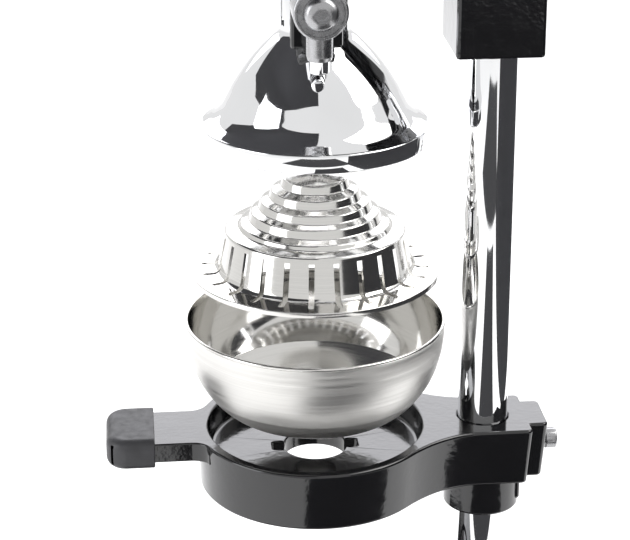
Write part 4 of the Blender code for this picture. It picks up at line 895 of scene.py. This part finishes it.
def make_bell():
    outside = bell_profile()
    band_low = -9.9 * MM
    rim_z = BELL_LOW - band_low
    wall = 2.6 * MM
    neck_top = BELL_TOP - rim_z
    band = arc((BELL_RADIUS - MM, -MM), MM, 90, 0, 4)[1:]
    band += arc((BELL_RADIUS - MM, band_low + MM), MM, 0, -90, 4)
    band += [(BELL_RADIUS - wall, band_low), (BELL_RADIUS - wall - 0.5 * MM, -wall)]
    flank = [point for point in outside if point[1] < 46 * MM]
    inside = [point for point in inset_outline(flank, wall) if point[1] > -wall + 0.4 * MM]
    crown = inside[0][1] + 2 * MM
    top = [(0, neck_top)] + arc((17.5 * MM, neck_top - MM), MM, 90, 0, 3)
    form = lathe("bell_shell", top + outside + band + inside[::-1] + [(0, crown)], BOWL_STEPS)
    shift(form, (PRESS_X, 0, rim_z))
    rack_low, rack_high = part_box("rack")
    pinion_low, pinion_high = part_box("pinion")
    half = pinion_high.y + MM
    floor = pinion_low.z - 1.5 * MM
    above = BELL_TOP + MM
    form = cut(form, box_piece("gear slot", (PRESS_X - 30 * MM, -half, floor),
                               (pinion_high.x + MM, half, above)))
    half, across = 7 * MM, 50 * MM
    form = cut(form, round_tool("shaft slot", half, -across, across, 48, "-Y", SHAFT))
    form = cut(form, box_piece("shaft way", (SHAFT.x - half, -across, SHAFT.z),
                               (SHAFT.x + half, across, above)))
    form = cut(form, box_piece("rack pocket", rack_low - Vector((FIT_GAP, FIT_GAP, FIT_GAP)),
                               (rack_high.x + FIT_GAP, rack_high.y + FIT_GAP, floor + MM)))
    pin_low, pin_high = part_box("rack_pin")
    pin = (pin_low + pin_high) / 2
    form = cut(form, round_tool("pin hole", PIN_HOLE, -30 * MM, 8 * MM, SCREW_STEPS, "-Y", (pin.x, 0, pin.z)))
    hand_over(form, "press", "chrome", "press_bell")


# ---------------------------------------------------------------- lever

def make_hub():
    front, back = -HUB_FRONT_Y, -HUB_BACK_Y
    radius, edge = 13.9 * MM, 1.2 * MM
    face = 0.35 * MM
    outline = [(0, back), (radius - edge, back)] + arc((radius - edge, back + edge), edge, -90, 0, 4)[1:]
    outline += arc((radius - edge, front - edge), edge, 0, 90, 5)
    outline += [(radius - edge - 0.7 * MM, front), (radius - edge - MM, front - face), (0, front - face)]
    form = lathe("hub_body", outline, along="-Y", steps=128)
    sleeve_low, sleeve_high = (corner.z - SHAFT.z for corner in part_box("lever_hub"))
    sleeve_radius = 6.8 * MM
    sleeve = rounded([(0, sleeve_low, 0), (sleeve_radius - 0.8 * MM, sleeve_low, 0.3 * MM),
                      (sleeve_radius, sleeve_low + 2.2 * MM, 1.2 * MM),
                      (sleeve_radius, sleeve_high, 1.5 * MM),
                      (0, sleeve_high, 0)])
    form = add(form, lathe("sleeve", sleeve, centre=(0, ROD_Y, 0)))
    form = cut(form, round_tool("rod bore", 5.3 * MM, -40 * MM, 40 * MM, 64, centre=(0, ROD_Y, 0)))
    shaft_end = -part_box("pinion_shaft")[0].y + FIT_GAP
    form = cut(form, round_tool("shaft bore", SHAFT_HOLE, 10 * MM, shaft_end, 64, "-Y"))
    form = cut(form, round_tool("bolt bore", HUB_BOLT_HOLE, 20 * MM, front + MM, 32, "-Y"))
    shift(form, SHAFT)
    hand_over(form, "lever", "steel", "lever_hub", weighted=True)


def make_hub_bolt():
    head = -HUB_FRONT_Y + FIT_GAP
    radius, height = 8.8 * MM, 4.8 * MM
    tip, shank_radius = head - 27.5 * MM, 3 * MM
    shank = [(0, tip), (shank_radius - 0.4 * MM, tip), (shank_radius, tip + 0.6 * MM), (shank_radius, head)]
    dome = flowing([(radius, head + 0.8 * MM), (radius * 0.96, head + 2.0 * MM), (radius * 0.82, head + 3.6 * MM),
                    (radius * 0.60, head + 4.55 * MM), (radius * 0.48, head + height)], 4)
    form = lathe("hub_button_bolt", shank + [(radius, head)] + dome + [(0, head + height)], along="-Y")
    form = cut(form, round_tool("socket", 3.7 * MM, head + 1.8 * MM, head + 12 * MM, 6, "-Y"))
    shift(form, SHAFT)
    hand_over(form, "lever", "steel", "hub_bolt")


def make_lever():
    low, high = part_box("lever_rod")
    radius, edge = (high.x - low.x) / 2, 1.2 * MM
    outline = [(0, low.z), (radius - edge, low.z)] + arc((radius - edge, low.z + edge), edge, -90, 0, 4)[1:]
    outline += arc((radius - edge, high.z - edge), edge, 0, 90, 4) + [(0, high.z)]
    place = (SHAFT.x, ROD_Y, 0)
    rod = lathe("lever_bar", outline, centre=place)
    rod = cut(rod, round_tool("bolt hole", HUB_BOLT_HOLE, -20 * MM, 20 * MM, 32, "-Y",
                              (SHAFT.x, ROD_Y, SHAFT.z)))
    hand_over(rod, "lever", "chrome", "lever_rod")
    bore = radius + FIT_GAP
    low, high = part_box("grip_collar")
    outer = (high.x - low.x) / 2
    collar = rounded([(bore, low.z, 0), (outer - 0.4 * MM, low.z, 0.5 * MM),
                      (outer, low.z + 1.4 * MM, 0.8 * MM),
                      (outer, low.z + 3.4 * MM, 0.4 * MM), (outer - 0.8 * MM, (low.z + high.z) / 2, 0.4 * MM),
                      (outer, high.z - 3.4 * MM, 0.4 * MM), (outer, high.z - 0.3 * MM, 0.6 * MM),
                      (outer - 0.6 * MM, high.z, 0.2 * MM), (bore, high.z, 0)])
    hand_over(lathe("bar_collar", collar, closed=True, centre=place), "lever", "chrome", "grip_collar")
    low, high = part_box("lever_grip")
    outer, tall = (high.x - low.x) / 2, high.z - low.z
    # Share of the full radius at each share of the height
    swell = [(0.70, 0.0), (0.80, 0.02), (0.86, 0.10), (0.93, 0.28),
             (1.0, 0.55), (0.98, 0.78), (0.90, 0.93), (0.68, 1.0)]
    side = flowing([(outer * wide, low.z + tall * along) for wide, along in swell], 8)
    ribs_start, ribs_length, rib_waves, rib_depth = 0.30, 0.40, 9, 0.35 * MM
    ribbed = []
    for here, z in side:
        along = ((z - low.z) / tall - ribs_start) / ribs_length
        dip = rib_depth * max(0.0, math.sin(along * math.pi * rib_waves)) if 0 < along < 1 else 0.0
        ribbed.append((min(here, outer) - dip, z))
    grip = lathe("bar_grip", [(bore, low.z)] + ribbed + [(bore, high.z)], closed=True, centre=place)
    hand_over(grip, "lever", "black_plastic", "lever_grip")
    low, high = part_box("grip_nut")
    nut_radius, nut_top, dome_radius = 8.2 * MM, low.z + 5 * MM, 6.4 * MM
    nut = lathe("acorn_nut", rounded([(0, low.z, 0), (nut_radius, low.z, 0.4 * MM),
                                      (nut_radius, nut_top, 0.4 * MM),
                                      (0, nut_top, 0)], 3), 6, centre=place)
    dome = [(0, low.z + 3 * MM), (dome_radius, low.z + 3 * MM)]
    dome += flowing([(dome_radius, low.z + 5.2 * MM), (5.8 * MM, low.z + 8.2 * MM),
                     (3.6 * MM, low.z + 10.8 * MM),
                     (0, high.z)], 5)
    nut = add(nut, lathe("dome", dome, centre=place))
    rod_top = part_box("lever_rod")[1].z + 0.6 * MM
    nut = cut(nut, round_tool("thread room", bore, low.z - MM, rod_top, 48, centre=place))
    hand_over(nut, "lever", "chrome", "grip_nut")


# ---------------------------------------------------------------- carried-over nodes

def dress_machined_nodes():
    """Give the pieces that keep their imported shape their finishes."""
    slots = {row["node"]: row["material_slot"] for row in frame["record"]["subparts"]}
    for name, node in frame["nodes"].items():
        if node.hide_render:
            continue
        node.data.materials.clear()
        node.data.materials.append(finish(FINISHES[slots[name]][-1]))


# ---------------------------------------------------------------- stage

def flat_card(name, centre, width, height, turn, look):
    """A card that is seen only in reflections."""
    deselect_all()
    bpy.ops.mesh.primitive_plane_add(size=1, location=(0, 0, 0))
    card = bpy.context.active_object
    card.name = name
    card.scale = (width, height, 1)
    card.rotation_euler = turn
    card.location = centre
    card.data.materials.append(look)
    card.visible_camera = card.visible_diffuse = card.visible_shadow = False


def stage_finish(name, colour, roughness, glow=0.0):
    look, tree, shader = blank_finish(name)
    place = object_point(tree)
    pale = tuple(min(channel * 1.01, 1) for channel in colour)
    tree.links.new(blend_colours(tree, noise(tree, place, 0.2, 3), colour, pale), shader.inputs["Base Color"])
    shader.inputs["Roughness"].default_value = roughness
    shader.inputs["Emission Color"].default_value = (1, 1, 1, 1)
    shader.inputs["Emission Strength"].default_value = glow
    return look


def light(name, place, target, size, power, colour):
    lamp = bpy.data.lights.new(name, "AREA")
    lamp.shape = "RECTANGLE"
    lamp.size, lamp.size_y = size
    lamp.energy = power
    lamp.color = colour
    stand = bpy.data.objects.new(name, lamp)
    bpy.context.scene.collection.objects.link(stand)
    stand.visible_camera = False
    stand.location = place
    stand.rotation_euler = (Vector(target) - Vector(place)).to_track_quat("-Z", "Y").to_euler()


def make_stage(settings):
    scene = bpy.context.scene
    deselect_all()
    bpy.ops.mesh.primitive_plane_add(size=30, location=(0, 0, 0))
    floor = bpy.context.active_object
    floor.name = "studio_floor"
    floor.data.materials.append(stage_finish("Pale floor", settings.floor, 0.9, 0.16))
    dark = stage_finish("Dark card", (0.02, 0.02, 0.023), 0.8)
    quarter = math.radians(90)
    flat_card("dark_card_right", (0.48, -0.35, 0.25), 1.3, 0.5, (quarter, 0, quarter), dark)
    flat_card("dark_mat_near", (0.12, -0.50, 0.004), 0.40, 0.70, (0, 0, 0), dark)
    flat_card("dark_mat_far", (-0.1, -1.6, 0.004), 1.3, 1.3, (0, 0, 0), dark)
    flat_card("dark_ceiling", (-1.15, 0.2, 1.6), 2.3, 2.8, (0, 0, 0), dark)
    light("right_softbox", (1.3, -0.2, 1.7), (0, 0, 0.3), (1.2, 1.4), settings.softbox, (1.0, 0.99, 0.97))
    light("rear_softbox", (0.1, 1.6, 1.15), (0, 0, 0.19), (2.6, 1.1), settings.softbox, (0.95, 0.95, 1.0))
    light("left_softbox", (-1.5, -0.5, 0.8), (0, 0, 0.3), (0.9, 1.2), settings.softbox * 0.4,
          (0.96, 0.97, 1.0))
    world = bpy.data.worlds.new("Studio")
    scene.world = world
    world.use_nodes = True
    world.node_tree.nodes["Background"].inputs["Color"].default_value = (1, 1, 1, 1)
    world.node_tree.nodes["Background"].inputs["Strength"].default_value = 0.82
    camera_data = bpy.data.cameras.new("Camera")
    camera = bpy.data.objects.new("Camera", camera_data)
    scene.collection.objects.link(camera)
    side, pitch = math.radians(5.53), math.radians(18.32)
    distance, rise = 1.0, 0.4893    # from the press axis, and above the holder
    camera.location = (PRESS_X - distance * math.sin(side), -distance * math.cos(side), HOLDER_TOP + rise)
    camera.rotation_euler = (math.radians(90) - pitch, 0, -side)
    camera_data.lens = 113.66
    camera_data.sensor_width = 36
    camera_data.shift_y = -0.19
    camera_data.clip_start = 0.05
    scene.camera = camera
    scene.view_settings.view_transform = "Standard"


# ---------------------------------------------------------------- add-on

class PRESS_OT_base(bpy.types.Operator):
    """Cast base with its boss and tray"""
    bl_idname = "press.base"
    bl_label = "Base"

    def execute(self, context):
        make_base(context.scene.press_body)
        return {"FINISHED"}


class PRESS_OT_feet(bpy.types.Operator):
    """Four rubber feet"""
    bl_idname = "press.feet"
    bl_label = "Feet"

    def execute(self, context):
        make_feet()
        return {"FINISHED"}


class PRESS_OT_column(bpy.types.Operator):
    """Chrome column and its plug"""
    bl_idname = "press.column"
    bl_label = "Column"

    def execute(self, context):
        make_column()
        return {"FINISHED"}


class PRESS_OT_holder(bpy.types.Operator):
    """Enamelled cup holder on its arm"""
    bl_idname = "press.holder"
    bl_label = "Cup holder"

    def execute(self, context):
        make_holder(context.scene.press_holder)
        return {"FINISHED"}


class PRESS_OT_clamp_knob(bpy.types.Operator):
    """Knurled clamp screw of the holder"""
    bl_idname = "press.clamp_knob"
    bl_label = "Clamp screw"

    def execute(self, context):
        make_clamp_knob()
        return {"FINISHED"}


class PRESS_OT_thumb_cap(bpy.types.Operator):
    """Rubber cap on the thumb tab"""
    bl_idname = "press.thumb_cap"
    bl_label = "Thumb cap"

    def execute(self, context):
        make_tab_cap(context.scene.press_holder)
        return {"FINISHED"}


class PRESS_OT_bowl(bpy.types.Operator):
    """Spun bowl with its spout and lugs"""
    bl_idname = "press.bowl"
    bl_label = "Bowl"

    def execute(self, context):
        make_bowl(context.scene.press_bowl)
        return {"FINISHED"}


class PRESS_OT_strainer(bpy.types.Operator):
    """Stepped strainer with juice slots"""
    bl_idname = "press.strainer"
    bl_label = "Strainer"

    def execute(self, context):
        make_strainer(context.scene.press_strainer)
        return {"FINISHED"}


class PRESS_OT_bell(bpy.types.Operator):
    """Chrome bell with its slotted neck"""
    bl_idname = "press.bell"
    bl_label = "Press bell"

    def execute(self, context):
        make_bell()
        return {"FINISHED"}


class PRESS_OT_hub(bpy.types.Operator):
    """Hub that clamps the lever rod"""
    bl_idname = "press.hub"
    bl_label = "Lever hub"

    def execute(self, context):
        make_hub()
        return {"FINISHED"}


class PRESS_OT_hub_bolt(bpy.types.Operator):
    """Button-head bolt with a hexagon socket"""
    bl_idname = "press.hub_bolt"
    bl_label = "Hub bolt"

    def execute(self, context):
        make_hub_bolt()
        return {"FINISHED"}


class PRESS_OT_lever(bpy.types.Operator):
    """Rod, collar, grip and nut"""
    bl_idname = "press.lever"
    bl_label = "Lever"

    def execute(self, context):
        make_lever()
        return {"FINISHED"}


class PRESS_OT_machined(bpy.types.Operator):
    """Finishes for the parts kept as packed"""
    bl_idname = "press.machined"
    bl_label = "Machined parts"

    def execute(self, context):
        dress_machined_nodes()
        return {"FINISHED"}


class PRESS_OT_stage(bpy.types.Operator):
    """Floor, lights and camera"""
    bl_idname = "press.stage"
    bl_label = "Studio"

    def execute(self, context):
        make_stage(context.scene.press_stage)
        return {"FINISHED"}


STEPS = [
    PRESS_OT_base, PRESS_OT_feet, PRESS_OT_column, PRESS_OT_holder, PRESS_OT_clamp_knob,
    PRESS_OT_thumb_cap, PRESS_OT_bowl, PRESS_OT_strainer, PRESS_OT_bell, PRESS_OT_hub,
    PRESS_OT_hub_bolt, PRESS_OT_lever, PRESS_OT_machined, PRESS_OT_stage,
]


class PRESS_PT_panel(bpy.types.Panel):
    """Sidebar panel with the press's sizes, colours and steps"""
    bl_label = "Citrus press"
    bl_idname = "PRESS_PT_panel"
    bl_space_type = "VIEW_3D"
    bl_region_type = "UI"
    bl_category = "Press"

    def draw(self, context):
        for attribute, settings in SETTINGS.items():
            box = self.layout.box()
            for field in settings.__annotations__:
                box.prop(getattr(context.scene, attribute), field)
        for step in STEPS:
            self.layout.operator(step.bl_idname)


SETTINGS = {"press_enamel": EnamelSettings, "press_metal": MetalSettings, "press_soft": SoftSettings,
            "press_body": BodySettings, "press_holder": HolderSettings, "press_bowl": BowlSettings,
            "press_strainer": StrainerSettings, "press_stage": StageSettings}


def register():
    for attribute, settings in SETTINGS.items():
        bpy.utils.register_class(settings)
        setattr(bpy.types.Scene, attribute, bpy.props.PointerProperty(type=settings))
    for made in [*STEPS, PRESS_PT_panel]:
        bpy.utils.register_class(made)


def unregister():
    for made in [*STEPS, PRESS_PT_panel]:
        bpy.utils.unregister_class(made)
    for attribute, settings in SETTINGS.items():
        delattr(bpy.types.Scene, attribute)
        bpy.utils.unregister_class(settings)


def main():
    register()
    for step in STEPS:
        getattr(bpy.ops.press, step.bl_idname.split(".")[1])()


if __name__ == "__main__":
    main()
